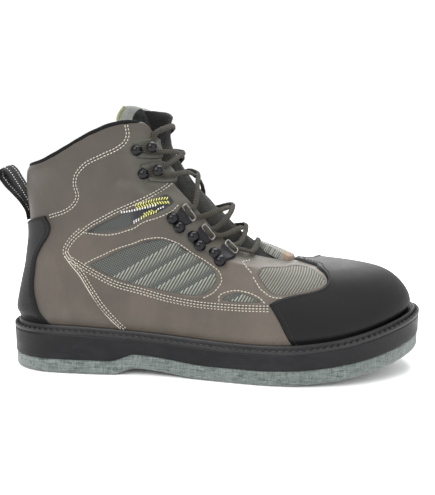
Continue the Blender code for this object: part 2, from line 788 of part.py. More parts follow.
def make_rings(group, rubber, steel):
    """Three ring plates a side, each with two studs and a wire ring at the throat's edge."""
    for number, row in enumerate(RING_PLATES, 1):
        for side, word in ((-1.0, "lateral"), (1.0, "medial")):
            tag = f"{number}_{word}"
            stud_a, stud_b = (side * row[0], row[1]), (side * row[2], row[3])
            ring_a, ring_b = (side * row[4], row[5]), (side * row[6], row[7])
            run = np.linspace(*PLATE_RUN, 5)[:, None]
            over = np.linspace(*PLATE_OVER, 4)
            far = np.array([(1 - t) * np.array(stud_a) + t * np.array(stud_b) for t in over])
            near = np.array([(1 - t) * np.array(ring_a) + t * np.array(ring_b) for t in over])
            turn = far[:, 0] + (near[:, 0] - far[:, 0]) * run
            level = far[:, 1] + (near[:, 1] - far[:, 1]) * run
            base = FITTING_LIFT
            top = base + PLATE_THICKNESS
            patch(f"ring_plate_{tag}", turn, level, base, top, rubber, group)
            for letter, place in (("a", stud_a), ("b", stud_b)):
                frame = frame_at(*place, top + STUD_LIFT)
                profile = dome_profile(STUD_RADIUS, STUD_HEIGHT)
                turned(f"ring_stud_{tag}_{letter}", frame, profile, steel, group)
            low_a, low_b = frame_at(*ring_a, top), frame_at(*ring_b, top)
            out = RING_WIRE + 2.0 * CLEARANCE
            inward = low_a[1] * -side
            corners = [
                low_a[0] + low_a[3] * out - inward * RING_BACK,
                low_b[0] + low_b[3] * out - inward * RING_BACK,
                low_b[0] + low_b[3] * (out + RING_STAND) + inward * RING_FRONT,
                low_a[0] + low_a[3] * (out + RING_STAND) + inward * RING_FRONT,
            ]
            wire(f"lace_ring_{tag}", corners, RING_WIRE, steel, group, cyclic=True, resolution=1)


def make_hooks(group, steel):
    """Two lace hooks a side: a riveted foot and a knob on a post."""
    for number, row in enumerate(HOOKS, 4):
        for side, word in ((-1.0, "lateral"), (1.0, "medial")):
            rivet, knob = (side * row[0], row[1]), (side * row[2], row[3])
            run = np.linspace(*HOOK_RUN, 6)
            over = np.array([-HOOK_HALF, HOOK_HALF])[:, None]
            turn = rivet[0] + (knob[0] - rivet[0]) * run + 0.0 * over
            level = rivet[1] + (knob[1] - rivet[1]) * run + over
            base, top = OVERLAY_LIFT, OVERLAY_LIFT + PLATE_THICKNESS
            hook = patch(f"hook_{number}_{word}", turn, level, base, top, steel, group)
            sunk = PLATE_THICKNESS * 0.5
            low = frame_at(*rivet, top - sunk)
            rivet_dome = turned("rivet", low, dome_profile(STUD_RADIUS * 0.9, STUD_HEIGHT), steel, group)
            join(hook, rivet_dome)
            cap = STUD_RADIUS
            profile = [(HOOK_POST, 0.0), (HOOK_POST, HOOK_HEIGHT - 0.0015)]
            profile += [(r, HOOK_HEIGHT - 0.0015 + h) for r, h in dome_profile(cap, STUD_HEIGHT)]
            join(hook, turned("knob", frame_at(*knob, top - sunk), profile, steel, group))


def lace_bar(start, end):
    """The middle line of one pass of lace over the tongue, between two places on its sides."""
    step = np.linspace(0.0, 1.0, 11)
    turn = start[0] + (end[0] - start[0]) * step
    level = start[1] + (end[1] - start[1]) * step
    out = LACE_END + (LACE_STAND - LACE_END) * smooth(0.0, LACE_CLIMB, np.minimum(step, 1.0 - step))
    point, normal = beyond(turn, level)
    return point + normal * out[:, None]


def make_lace(group, cord):
    """The lace's passes: a bar at the foot, four crossings and a bar over the tongue's top."""
    rings = [((row[4] + row[6]) / 2.0, (row[5] + row[7]) / 2.0) for row in RING_PLATES]
    stops = [(turn - RING_PASS, level) for turn, level in reversed(rings)]
    stops += [(row[2] - HOOK_PASS, row[3]) for row in HOOKS]
    turn, level = stops[0]
    level -= FOOT_DROP
    wire("lace_foot", lace_bar((-turn, level), (turn, level)), LACE_RADIUS, cord, group, resolution=1)
    for number, (low, high) in enumerate(zip(stops, stops[1:]), 1):
        one = wire(
            f"lace_cross_{number}",
            lace_bar((-low[0], low[1] + PASS_RISE), (high[0], high[1] - PASS_RISE)),
            LACE_RADIUS,
            cord,
            group,
            resolution=1,
        )
        other = lace_bar((low[0], low[1] + PASS_RISE), (-high[0], high[1] - PASS_RISE))
        join(one, wire("other", other, LACE_RADIUS, cord, group, resolution=1))
    turn, level = stops[-1]
    level += TOP_RISE
    wire("lace_top", lace_bar((-turn, level), (turn, level)), LACE_RADIUS, cord, group, resolution=1)


def make_loop(group, rubber):
    """The webbing pull loop, folded over behind the collar and sewn to the back seam."""
    seam = float(upper_surface(0.5, HEEL_STRIP[-1][0])[0])
    foot = BACK_HEIGHT * LOOP_FOOT
    line = np.array([(seam - back, 0.0, foot + up) for back, up in LOOP_LINE])
    along = np.gradient(line, axis=0)
    along /= np.linalg.norm(along, axis=1, keepdims=True)
    across = np.array([0.0, LOOP_WIDTH / 2.0, 0.0])
    normal = np.cross(along, [0.0, 1.0, 0.0]) * LOOP_THICKNESS / 2.0
    loops = [
        np.stack([p - across - n, p + across - n, p + across + n, p - across + n])
        for p, n in zip(line, normal)
    ]
    strip_solid("pull_loop", loops, rubber, group)


def make_keeper(group, webbing):
    """The short webbing at the throat's foot."""
    turn = np.broadcast_to(np.linspace(-KEEPER_HALF, KEEPER_HALF, 5), (3, 5))
    level = np.broadcast_to(np.linspace(KEEPER_HIGH, KEEPER_LOW, 3)[:, None], (3, 5))
    patch("lace_keeper", turn, level, FITTING_LIFT, KEEPER_STAND, webbing, group)


def clear_scene():
    """Start from an empty scene."""
    for old in list(bpy.data.objects):
        bpy.data.objects.remove(old)


clear_scene()
boot = collection("wading_boot")
cutters = collection("cutters")
leather = material("taupe_leather", (0.17, 0.14, 0.12), 0.6)
black_rubber = material("black_rubber", (0.014, 0.014, 0.015), 0.55)
black_steel = material("black_steel", (0.03, 0.03, 0.035), 0.3, 0.8)
grey_cloth = material("grey_cloth", (0.10, 0.11, 0.10), 0.9)
olive_cord = material("olive_cord", (0.13, 0.13, 0.10), 0.85)
make_sole(boot)
make_insole(boot)
make_upper(boot, cutters, leather)
make_tongue(boot, grey_cloth)
make_overlays(boot, black_rubber)
make_binding(boot, black_rubber)
make_rings(boot, black_rubber, black_steel)
make_hooks(boot, black_steel)
make_lace(boot, olive_cord)
make_loop(boot, black_rubber)
make_keeper(boot, grey_cloth)
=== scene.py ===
"""Wading boot for the right foot: felt sole, black rubber midsole and toe cap, taupe leather upper.

Metres, +X to the toe, +Y to the medial side, +Z up, as the CAD. The script follows the boot as it
is put together, from the felt up to the lace.
"""

import json
import math

import bpy
import numpy as np
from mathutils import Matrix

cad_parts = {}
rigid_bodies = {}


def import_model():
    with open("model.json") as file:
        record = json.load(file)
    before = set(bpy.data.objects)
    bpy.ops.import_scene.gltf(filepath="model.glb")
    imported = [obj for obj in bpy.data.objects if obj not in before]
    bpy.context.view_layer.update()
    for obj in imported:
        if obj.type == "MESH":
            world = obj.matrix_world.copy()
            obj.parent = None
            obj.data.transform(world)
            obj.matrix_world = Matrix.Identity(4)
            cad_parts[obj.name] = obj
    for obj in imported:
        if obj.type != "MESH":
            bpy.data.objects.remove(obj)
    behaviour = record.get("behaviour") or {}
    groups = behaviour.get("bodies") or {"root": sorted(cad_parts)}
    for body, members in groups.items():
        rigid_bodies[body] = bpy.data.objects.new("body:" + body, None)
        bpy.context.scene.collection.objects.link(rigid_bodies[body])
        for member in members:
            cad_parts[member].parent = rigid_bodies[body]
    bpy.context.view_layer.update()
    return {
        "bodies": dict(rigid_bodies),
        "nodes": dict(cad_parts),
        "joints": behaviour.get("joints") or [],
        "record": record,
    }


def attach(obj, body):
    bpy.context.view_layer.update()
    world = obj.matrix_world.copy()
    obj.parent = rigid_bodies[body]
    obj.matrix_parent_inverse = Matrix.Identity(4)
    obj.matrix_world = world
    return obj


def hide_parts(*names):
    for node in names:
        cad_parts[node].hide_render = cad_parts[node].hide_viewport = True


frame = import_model()


# ---- Studio ----
# A plain pale floor under soft light from above, the left and the front, as in a catalogue
# picture, and the camera low at the boot's lateral side.
LENS, CAMERA_TURN, CAMERA_TILT, CAMERA_AWAY = 49.8, math.radians(5.0), math.radians(8.3), 0.55
LOOK_AT = np.array([0.1257, 0.0, 0.095])
# Columns: name; place; what it faces; width in metres; watts
LAMPS = (
    ("key", (-0.35, -0.95, 1.05), (0.12, 0.0, 0.08), 0.9, 15.0),
    ("fill", (0.95, -0.85, 0.55), (0.12, 0.0, 0.08), 0.8, 4.0),
    ("top", (0.15, 0.35, 1.25), (0.12, 0.0, 0.05), 1.1, 22.0),
    ("rim", (0.10, 1.00, 0.50), (0.12, 0.0, 0.10), 0.7, 5.0),
)
SKY, FLOOR_HALF, PAPER_TONE = 1.08, 9.0, (0.95, 0.95, 0.95, 1.0)


def unit(rows):
    """Each row divided by its length."""
    return rows / np.linalg.norm(rows, axis=-1, keepdims=True)


def linked(name, data):
    """A new object with this data, in the scene."""
    made = bpy.data.objects.new(name, data)
    bpy.context.scene.collection.objects.link(made)
    return made


def aim(thing, place, target):
    """Place an object and turn it so that its own -Z looks at the target."""
    back = unit(np.array(place, float) - np.array(target, float))
    right = unit(np.cross([0.0, 0.0, 1.0], back))
    thing.matrix_world = [[*right, 0.0], [*np.cross(back, right), 0.0], [*back, 0.0], [*place, 1.0]]


lens = bpy.data.cameras.new("camera")
lens.sensor_width, lens.lens = 36.0, LENS
camera = linked("camera", lens)
level_part = math.cos(CAMERA_TILT)
towards = np.array(
    [math.sin(CAMERA_TURN) * level_part, -math.cos(CAMERA_TURN) * level_part, math.sin(CAMERA_TILT)]
)
aim(camera, LOOK_AT + towards * CAMERA_AWAY, LOOK_AT)
bpy.context.scene.camera = camera
for name, place, target, width, watts in LAMPS:
    light = bpy.data.lights.new(name, "AREA")
    light.size, light.energy = width, watts
    aim(linked(name, light), place, target)

world = bpy.data.worlds.new("studio")
world.use_nodes = True
world.node_tree.nodes["Background"].inputs["Color"].default_value = (1.0, 1.0, 1.0, 1.0)
world.node_tree.nodes["Background"].inputs["Strength"].default_value = SKY
bpy.context.scene.world = world
bpy.context.scene.view_settings.view_transform = "Standard"

floor_mesh = bpy.data.meshes.new("floor")
corners = [(x * FLOOR_HALF, y * FLOOR_HALF, 0.0) for x, y in ((-1, -1), (1, -1), (1, 1), (-1, 1))]
floor_mesh.from_pydata(corners, [], [(0, 1, 2, 3)])
paper = bpy.data.materials.new("paper")
paper.use_nodes = True
paper.node_tree.nodes["Principled BSDF"].inputs["Base Color"].default_value = PAPER_TONE
paper.node_tree.nodes["Principled BSDF"].inputs["Roughness"].default_value = 0.9
floor_mesh.materials.append(paper)
linked("floor", floor_mesh)


# ---- Felt outsole ----
# One sheet of dense grey-green felt, die cut, bent over the heel breast and cemented under the
# rubber. Its cut side shows pressed layers, and its lower edge is worn round.


def smooth(low, high, value):
    """A ramp from 0 at low to 1 at high with level ends: 3t^2 - 2t^3."""
    t = np.clip((np.asarray(value, float) - low) / (high - low), 0.0, 1.0)
    return t * t * (3.0 - 2.0 * t)


def through(table, column, at):
    """A cubic Hermite curve through one column of a table, with slopes from its neighbours."""
    xs, ys = np.asarray(table, float)[:, (0, column)].T
    slopes = np.gradient(ys, xs)
    at = np.clip(np.asarray(at, float), xs[0], xs[-1])
    i = np.clip(np.searchsorted(xs, at, side="right") - 1, 0, len(xs) - 2)
    span = xs[i + 1] - xs[i]
    t = (at - xs[i]) / span
    start = (2 * t**3 - 3 * t**2 + 1) * ys[i] + (t**3 - 2 * t**2 + t) * span * slopes[i]
    return start + (3 * t**2 - 2 * t**3) * ys[i + 1] + (t**3 - t**2) * span * slopes[i + 1]


SOLE_LENGTH, BALL_WIDTH, HEEL_CENTRE = 0.328, 0.120, 0.041
FELT_THICKNESS, FELT_MARGIN, CLEARANCE = 0.0115, 0.0010, 0.0003
HEEL_STACK, HEEL_DROP, TOE_LIFT, ARCH_RISE, TOE_SPRING = 0.0372, 0.0079, 0.0020, 0.0055, 0.0195
# Columns: share of the length from the back; half width and shift of the middle, as shares of
# the ball's width
SOLE_PLAN = (
    (0.00, 0.310, 0.000), (0.10, 0.335, 0.000), (0.20, 0.348, -0.005), (0.35, 0.338, -0.020),
    (0.45, 0.345, -0.042), (0.55, 0.390, -0.050), (0.63, 0.440, -0.036), (0.70, 0.476, -0.012),
    (0.77, 0.485, 0.015), (0.85, 0.478, 0.045), (0.93, 0.450, 0.070), (1.00, 0.410, 0.080),
)
HEEL_ROUND, TOE_ROUND, END_POWER, TURN_SPREAD = 0.13, 0.24, 2.3, 0.12


def ground(share):
    """The felt's underside: flat heel, a smooth step up to the arch, flat ball, parabola to the toe."""
    arch = smooth(0.265, 0.325, share) * (1.0 - smooth(0.325, 0.50, share))
    return ARCH_RISE * arch + spring(share)


def spring(share):
    """The toe spring, a parabola over the last two fifths of the length."""
    t = np.clip((np.asarray(share, float) - 0.60) / 0.40, 0.0, 1.0)
    return TOE_SPRING * t * t


def seat(share):
    """The top of the sole: it drops from heel to ball, then rises with the toe spring."""
    drop = HEEL_DROP * smooth(0.12, 0.60, share)
    return HEEL_STACK - drop + TOE_LIFT * smooth(0.70, 0.95, share) + spring(share)


def round_ends(share):
    """A factor that falls to 0 at heel and toe like a superellipse of power 2.3."""
    heel = np.clip(1.0 - share / HEEL_ROUND, 0.0, 1.0) ** END_POWER
    toe = np.clip((share - 1.0 + TOE_ROUND) / TOE_ROUND, 0.0, 1.0) ** END_POWER
    return ((1.0 - heel) * (1.0 - toe)) ** (1.0 / END_POWER)


def turn_share(turn):
    """Place along a ring, 1 at the toe and 0 at the heel, as a cosine of the turn, and its side."""
    angle = 2.0 * math.pi * np.asarray(turn, float)
    angle = angle + TURN_SPREAD * np.sin(2.0 * angle)
    return (1.0 + np.cos(angle)) / 2.0, np.where(np.sin(angle) >= 0.0, 1.0, -1.0)


def sole_point(turn, inset, rise, line):
    """A point of the sole: the plan at this turn, this far inside its edge, at line(share) + rise."""
    turn, inset, rise = np.broadcast_arrays(*(np.asarray(v, float) for v in (turn, inset, rise)))
    share, side = turn_share(turn)
    x = -HEEL_CENTRE + inset + share * (SOLE_LENGTH - 2.0 * inset)
    half = through(SOLE_PLAN, 1, share) * BALL_WIDTH - inset
    y = through(SOLE_PLAN, 2, share) * BALL_WIDTH + side * half * round_ends(share)
    z = line((x + HEEL_CENTRE) / SOLE_LENGTH) + rise
    return np.stack([x, y, z], axis=-1)


def grid_faces(rows, columns, round_rows=False, round_columns=False):
    """Quads over a grid of points, row by row, which may close on itself either way."""
    i = np.arange(rows if round_rows else rows - 1)[:, None]
    j = np.arange(columns if round_columns else columns - 1)[None, :]
    i2, j2 = (i + 1) % rows, (j + 1) % columns
    quads = np.stack(
        np.broadcast_arrays(i * columns + j, i * columns + j2, i2 * columns + j2, i2 * columns + j), axis=-1
    )
    return quads.reshape(-1, 4)


def across_faces(first, count):
    """Quads across a loop of points, each joined to the one over the way."""
    k = np.arange(1, count // 2 - 1)
    quads = np.stack([first + k, first + k + 1, first + count - k - 1, first + count - k], axis=-1)
    ends = [[first, first + 1, first + count - 1, first + count - 1]]
    half = count // 2
    ends.append([first + half - 1, first + half, first + half + 1, first + half + 1])
    return np.concatenate([quads, np.array(ends)])


def new_piece(name, points, faces, finish, soft=True, values=None, uv=None):
    """A mesh object from arrays of points and quads, with values and UVs kept at its points."""
    mesh = bpy.data.meshes.new(name)
    quads = [tuple(dict.fromkeys(face)) for face in np.asarray(faces, int).tolist()]
    mesh.from_pydata(np.asarray(points, float).reshape(-1, 3), [], quads)
    mesh.polygons.foreach_set("use_smooth", np.full(len(mesh.polygons), soft))
    for key, numbers in (values or {}).items():
        layer = mesh.attributes.new(key, "FLOAT", "POINT")
        layer.data.foreach_set("value", np.asarray(numbers, np.float32).ravel())
    if uv is not None:
        corners = np.zeros(len(mesh.loops), np.int32)
        mesh.loops.foreach_get("vertex_index", corners)
        sheet = mesh.uv_layers.new(name="UVMap")
        sheet.data.foreach_set("uv", np.asarray(uv, np.float32).reshape(-1, 2)[corners].ravel())
    mesh.materials.append(finish)
    return linked(name, mesh)


def fixed(piece, slot, *nodes):
    """A piece on the boot's one body that stands for these CAD nodes, which it hides. The slot is not used.
    """
    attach(piece, "root")
    if nodes:
        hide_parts(*nodes)


def crossed(points, quads):
    """The middle of each quad's first three corners, and its first two edges crossed."""
    a, b, c = (points[quads[:, k]] for k in (0, 1, 2))
    return (a + b + c) / 3.0, np.cross(b - a, c - a)


def capped(name, rows, finish, inside):
    """A closed solid from loops one over another, with quads across the first and the last."""
    high, wide = rows.shape[:2]
    points = rows.reshape(-1, 3)
    side = grid_faces(high, wide, False, True)
    middle, normal = crossed(points, side)
    if np.einsum("ij,ij->", normal, middle - np.array(inside)) < 0.0:
        side = side[:, ::-1]
    quads = [side]
    for first, sign in ((0, -1.0), ((high - 1) * wide, 1.0)):
        lid = across_faces(first, wide)
        half = len(lid) // 2
        up = crossed(points, lid[half : half + 1])[1][0, 2]
        quads.append(lid if up * sign >= 0.0 else lid[:, ::-1])
    return new_piece(name, rows, np.concatenate(quads), finish)


class Line:
    """A socket of a material. Arithmetic on it adds Math nodes; add brings in any other node."""

    def __init__(self, tree, socket):
        self.tree, self.socket = tree, socket

    def add(self, kind, settings=None, sockets=None, out=0):
        """A node of this kind: its settings first, then values or links for its sockets."""
        node = self.tree.nodes.new(kind)
        for key, value in (settings or {}).items():
            setattr(node, key, value)
        for key, value in (sockets or {}).items():
            if isinstance(value, Line):
                self.tree.links.new(value.socket, node.inputs[key])
            else:
                node.inputs[key].default_value = value
        return Line(self.tree, node.outputs[out])

    def maths(self, word, *others):
        """A Math node on this value and others."""
        sockets = dict(enumerate((self,) + others))
        return self.add("ShaderNodeMath", {"operation": word}, sockets)

    def __add__(self, other):
        return self.maths("ADD", other)

    __radd__ = __add__

    def __mul__(self, other):
        return self.maths("MULTIPLY", other)

    __rmul__ = __mul__

    def __sub__(self, other):
        return self.maths("SUBTRACT", other)

    def __rsub__(self, other):
        return self * -1.0 + other

    def __truediv__(self, other):
        return self.maths("DIVIDE", other)

    def __abs__(self):
        return self.maths("ABSOLUTE")

    def ramp(self, low, high):
        """0 below low, 1 above high, smooth between; low above high turns it round."""
        flip = low > high
        sockets = {"Value": self, "From Min": min(low, high), "From Max": max(low, high)}
        sockets.update({"To Min": 1.0 if flip else 0.0, "To Max": 0.0 if flip else 1.0})
        return self.add("ShaderNodeMapRange", {"interpolation_type": "SMOOTHSTEP"}, sockets)

    def blend(self, one, two):
        """Colour one where this is 0, colour two where it is 1."""
        sockets = {0: self}
        for key, value in ((6, one), (7, two)):
            sockets[key] = value if isinstance(value, Line) else (*value, 1.0)
        return self.add("ShaderNodeMix", {"data_type": "RGBA"}, sockets, out=2)

    def noise(self, scale, detail=2.0, roughness=0.6):
        """Noise at this many lumps a metre, read at this vector."""
        sockets = {"Vector": self, "Scale": scale, "Detail": detail, "Roughness": roughness}
        return self.add("ShaderNodeTexNoise", None, sockets)

    def waves(self, pitch):
        """A sine of this distance, one wave each pitch, brought to 0 to 1."""
        return (self * (2.0 * math.pi / pitch)).maths("SINE") * 0.5 + 0.5

    def kept(self, name):
        """A value kept at the mesh's points under this name."""
        return self.add("ShaderNodeAttribute", {"attribute_name": name}, out=2)

    def stretched(self, x, y, z):
        """This vector with each axis multiplied."""
        return self.add("ShaderNodeVectorMath", {"operation": "MULTIPLY"}, {0: self, 1: (x, y, z)})

    def parts(self):
        """The three numbers of this vector."""
        node = self.tree.nodes.new("ShaderNodeSeparateXYZ")
        self.tree.links.new(self.socket, node.inputs[0])
        return [Line(self.tree, node.outputs[k]) for k in range(3)]


def new_finish(name, roughness=0.6, metallic=0.0, sheen=0.0, specular=0.5, reads="Object"):
    """A material with its constants set, and the coordinates that it reads."""
    made = bpy.data.materials.new(name)
    made.use_nodes = True
    tree = made.node_tree
    constants = {"Roughness": roughness, "Metallic": metallic, "Sheen Weight": sheen}
    constants.update({"Sheen Roughness": 0.5, "Coat Roughness": 0.25, "Specular IOR Level": specular})
    for key, value in constants.items():
        tree.nodes["Principled BSDF"].inputs[key].default_value = value
    return made, Line(tree, tree.nodes.new("ShaderNodeTexCoord").outputs[reads])


def dress(finish, colour, roughness=None, height=None, depth=0.001):
    """Link what changes over a surface: colour, roughness and a bump of this depth in metres."""
    links, inputs = finish.node_tree.links, finish.node_tree.nodes["Principled BSDF"].inputs
    links.new(colour.socket, inputs["Base Color"])
    if roughness is not None:
        links.new(roughness.socket, inputs["Roughness"])
    if height is not None:
        bump = height.add("ShaderNodeBump", None, {"Height": height, "Distance": depth, "Strength": 1.0})
        links.new(bump.socket, inputs["Normal"])


def wobble(points, size, wave):
    """A soft unevenness: sines of the place over this wave, with unlike steps along the axes."""
    x, y, z = (points[..., k] * (2.0 * math.pi / wave) for k in range(3))
    return size * (np.sin(x + 1.7 * y) + np.sin(1.37 * y - 0.9 * z + 1.0) + np.sin(0.71 * x + 2.3 * z)) / 3.0


felt, at = new_finish("felt", roughness=0.95, sheen=0.35, specular=0.2)
tufts = at.stretched(1.0, 1.0, 1.6).noise(1500.0, 3.0, 0.7)
clumps = at.stretched(0.35, 1.0, 1.5).noise(420.0, 3.0, 0.65)
grain = at.stretched(0.10, 1.0, 1.0).noise(260.0, 3.0, 0.6)
layers = at.stretched(0.10, 0.10, 1.0).noise(900.0, 2.0, 0.6)
soiling = at.noise(30.0, 3.0)
weft = at.stretched(1.0, 1.0, 0.18).noise(950.0)
# Combed lines run from heel to toe, as on the sole that the photo shows
combed = at.stretched(0.05, 1.0, 1.0).noise(850.0, 2.0, 0.5)
fibre = tufts * 0.27 + clumps * 0.12 + layers * 0.16 + weft * 0.20 + combed * 0.25
tone = fibre.ramp(0.40, 0.60).blend((0.026, 0.036, 0.034), (0.230, 0.262, 0.250))
tone = (grain.ramp(0.42, 0.62) * 0.45).blend(tone, (0.120, 0.145, 0.138))
tone = (at.parts()[0].ramp(0.120, 0.280) * 0.32).blend(tone, (0.052, 0.064, 0.060))
tone = (combed.ramp(0.50, 0.66) * 0.5).blend(tone, (0.064, 0.078, 0.073))
tone = (soiling.ramp(0.45, 0.75) * 0.12).blend(tone, (0.060, 0.074, 0.068))
dress(felt, tone, height=tufts * 0.5 + clumps * 0.8 + weft * 0.5, depth=0.0011)

COLUMNS, FELT_ROUNDING = 520, 0.0025
around = np.arange(COLUMNS) / COLUMNS
arc = np.linspace(0.0, math.pi / 2.0, 7)[:, None]
up = np.linspace(FELT_ROUNDING, FELT_THICKNESS, 8)[1:, None]
inset = np.concatenate([FELT_MARGIN + FELT_ROUNDING * (1.0 - np.sin(arc)), 0.0 * up + FELT_MARGIN])
rise = np.concatenate([FELT_ROUNDING * (1.0 - np.cos(arc)), up])
rows = sole_point(around, inset, rise, ground)
rough_edge = wobble(rows, 0.00028, 0.0041) + wobble(rows[..., ::-1], 0.00018, 0.0017)
rows[1:-1] += (rough_edge[..., None] * np.array([0.5, 1.0, 0.25]))[1:-1]
fixed(capped("felt_outsole", rows, felt, (0.12, 0.0, 0.01)), "felt", "outsole_felt")


# ---- Rubber midsole ----
# A black rubber wedge with the heel lift and the arch moulded in, its wall buffed satin. It is
# cemented to the felt below and stands a hair inside it at the toe.
rubber, at = new_finish("midsole_rubber", roughness=0.5, specular=0.17)
buffed = at.stretched(1.0, 1.0, 3.0).noise(700.0, 3.0)
smear = at.stretched(1.0, 1.0, 2.5).noise(45.0, 3.0)
dust = at.noise(160.0, 4.0, 0.7)
tone = smear.ramp(0.35, 0.75).blend((0.0056, 0.0056, 0.0065), (0.0108, 0.0108, 0.0121))
tone = (dust.ramp(0.62, 0.80) * 0.35).blend(tone, (0.0338, 0.0351, 0.0351))
shine = smear.ramp(0.3, 0.7) * 0.12 + dust.ramp(0.55, 0.8) * 0.15 + 0.42
dress(rubber, tone, roughness=shine, height=buffed * 0.4 + smear, depth=0.00035)

WELT_THICKNESS, EDGE, SEAT_CLEARANCE, WAIST = 0.0050, 0.0009, 0.00004, 0.0004
arc = np.linspace(0.0, math.pi / 2.0, 5)[:, None]
low_rise = FELT_THICKNESS + CLEARANCE + EDGE * (1.0 - np.cos(arc))
low_edge = sole_point(around, EDGE * (1.0 - np.sin(arc)), low_rise, ground)
high_edge = sole_point(around, 0.0, -WELT_THICKNESS - SEAT_CLEARANCE, seat)[None]
steps = np.linspace(0.0, 1.0, 10)[1:-1, None, None]
rows = np.concatenate([low_edge, low_edge[-1] + (high_edge[0] - low_edge[-1]) * steps, high_edge])
waist = np.sin(np.linspace(0.0, math.pi, len(rows)))[:, None]
rows[..., 0] -= waist * WAIST * np.cos(2.0 * math.pi * around)
rows[..., 2] += wobble(rows, 0.00012, 0.037)
fixed(capped("midsole_body", rows, rubber, (0.12, 0.0, 0.02)), "sole_rubber", "midsole")


# ---- Storm welt ----
# A glossier rubber strip sewn round the upper: a bead against the leather, a channel that holds
# the stitches, and an outer lip that the thread pulls into small scallops.
LEDGE, WELT_WIDTH, WELT_COLUMNS, WELT_PITCH = 0.0055, 0.0095, 1560, 0.0050
# Columns: how far inside the sole's edge, and height over the sole's top
WELT_PROFILE = (
    (0.0000, -0.0050), (0.0000, -0.0042), (0.0000, -0.0034), (0.0000, -0.0026), (0.0002, -0.0020),
    (0.0006, -0.0017), (0.0011, -0.0017), (0.0015, -0.0020), (0.0018, -0.0027), (0.0022, -0.0033),
    (0.0027, -0.0033), (0.0030, -0.0026), (0.0032, -0.0020), (0.0034, -0.0007), (0.0038, 0.0004),
    (0.0043, 0.0009), (0.0048, 0.0008), (0.0052, 0.0003), (0.0054, -0.0004), (0.0095, -0.0004),
    (0.0095, -0.0050),
)
gloss_rubber, at = new_finish("welt_rubber", roughness=0.3, specular=0.32)
buffed = at.stretched(1.0, 1.0, 3.0).noise(700.0, 3.0)
smear = at.noise(60.0, 3.0)
tone = smear.ramp(0.35, 0.75).blend((0.0050, 0.0050, 0.0060), (0.0110, 0.0110, 0.0120))
shine = 0.26 + buffed * 0.2 + smear * 0.1
dress(gloss_rubber, tone, roughness=shine, height=buffed * 0.4 + smear, depth=0.0003)


def run_of(line):
    """The distance along a line of points, from its first to each."""
    return np.concatenate([[0.0], np.cumsum(np.linalg.norm(np.diff(line, axis=0), axis=1))])


welt_around = np.arange(WELT_COLUMNS) / WELT_COLUMNS
inward, up = np.array(WELT_PROFILE).T[..., None]
rows = sole_point(welt_around, inward, up, seat)
run = run_of(np.concatenate([rows[3], rows[3, :1]]))
stitch_count = round(run[-1] / WELT_PITCH)
pull = 0.5 - 0.5 * np.cos(2.0 * math.pi * stitch_count * run[:-1] / run[-1])
lip = np.exp(-(((inward - 0.0008) / 0.0009) ** 2)) * (up > -0.0030) * (inward < 0.0025)
rows[..., 2] -= lip * 0.0013 * pull**2
rows[..., 2] += wobble(rows, 0.00010, 0.05)
quads = grid_faces(len(rows), WELT_COLUMNS, True, True)[:, ::-1]
fixed(new_piece("storm_welt", rows, quads, gloss_rubber), "sole_rubber", "welt")


# ---- Welt stitching ----
# A waxed black lockstitch that holds the welt to the upper's lasting margin. It lies in the
# channel, sunk between the bead and the lip.
CHANNEL_IN, CHANNEL_UP = 0.0021, -0.0026


def between(spots, run, rows):
    """Rows of three numbers read at these distances, straight from one to the next."""
    return np.stack([np.interp(spots, run, rows[:, k]) for k in range(3)], axis=-1)


def stitches(name, lines, lifts, finish, pitch, space, radius, sink):
    """Thread along lines: one plump bead a pitch, less this share of space, with sunk ends."""
    points, faces, first = [], [], 0
    bead = np.linspace(0.0, 1.0, 6)
    hump = radius * (np.sin(math.pi * bead) ** 0.6 - sink)
    wide = radius * (0.45 + 0.55 * np.sin(math.pi * bead) ** 0.5)
    angle = 2.0 * math.pi * np.arange(6)[:, None] / 6.0
    ends = np.array([[0, 1, 2, 3], [3, 4, 5, 0], [33, 32, 31, 30], [30, 35, 34, 33]])
    one = np.concatenate([grid_faces(6, 6, False, True), ends])
    for line, lift in zip(lines, lifts):
        run = run_of(line)
        count = max(1, round(run[-1] / pitch))
        spots = ((np.arange(count) / count)[:, None] + bead * (1.0 - space) / count) * run[-1]
        out = unit(between(spots, run, lift))
        centre = between(spots, run, line) + out * hump[None, :, None]
        across = unit(np.cross(unit(centre[:, -1] - centre[:, 0])[:, None], out))
        spokes = np.cos(angle) * across[:, :, None] + np.sin(angle) * out[:, :, None]
        points.append((centre[:, :, None] + wide[None, :, None, None] * spokes).reshape(-1, 3))
        faces.append((one[None] + 36 * np.arange(count)[:, None, None]).reshape(-1, 4) + first)
        first += 36 * count
    return new_piece(name, np.concatenate(points), np.concatenate(faces)[:, ::-1], finish)


def grained(name, scale, dark, light, depth=None, rough=0.6, band=(0.3, 0.7), **constants):
    """A finish of fine noise between two colours, with a bump of this depth if one is given."""
    finish, at = new_finish(name, **constants)
    grain = at.noise(scale, 2.0, rough)
    height = {"height": grain, "depth": depth} if depth else {}
    dress(finish, grain.ramp(*band).blend(dark, light), **height)
    return finish


WAX_DARK, WAX_PALE = (0.008, 0.008, 0.009), (0.03, 0.03, 0.032)
waxed = grained("waxed_thread", 2500.0, WAX_DARK, WAX_PALE, 0.0002, 0.5, roughness=0.6, specular=0.15)
channel = sole_point(np.append(welt_around[::2], welt_around[0]), CHANNEL_IN, CHANNEL_UP, seat)
upwards = np.broadcast_to([0.0, 0.0, 1.0], channel.shape)
sizes = {"pitch": WELT_PITCH, "space": 0.22, "radius": 0.00075, "sink": 0.6}
thread = stitches("welt_stitches", [channel], [upwards], waxed, **sizes)
fixed(thread, "sole_rubber")


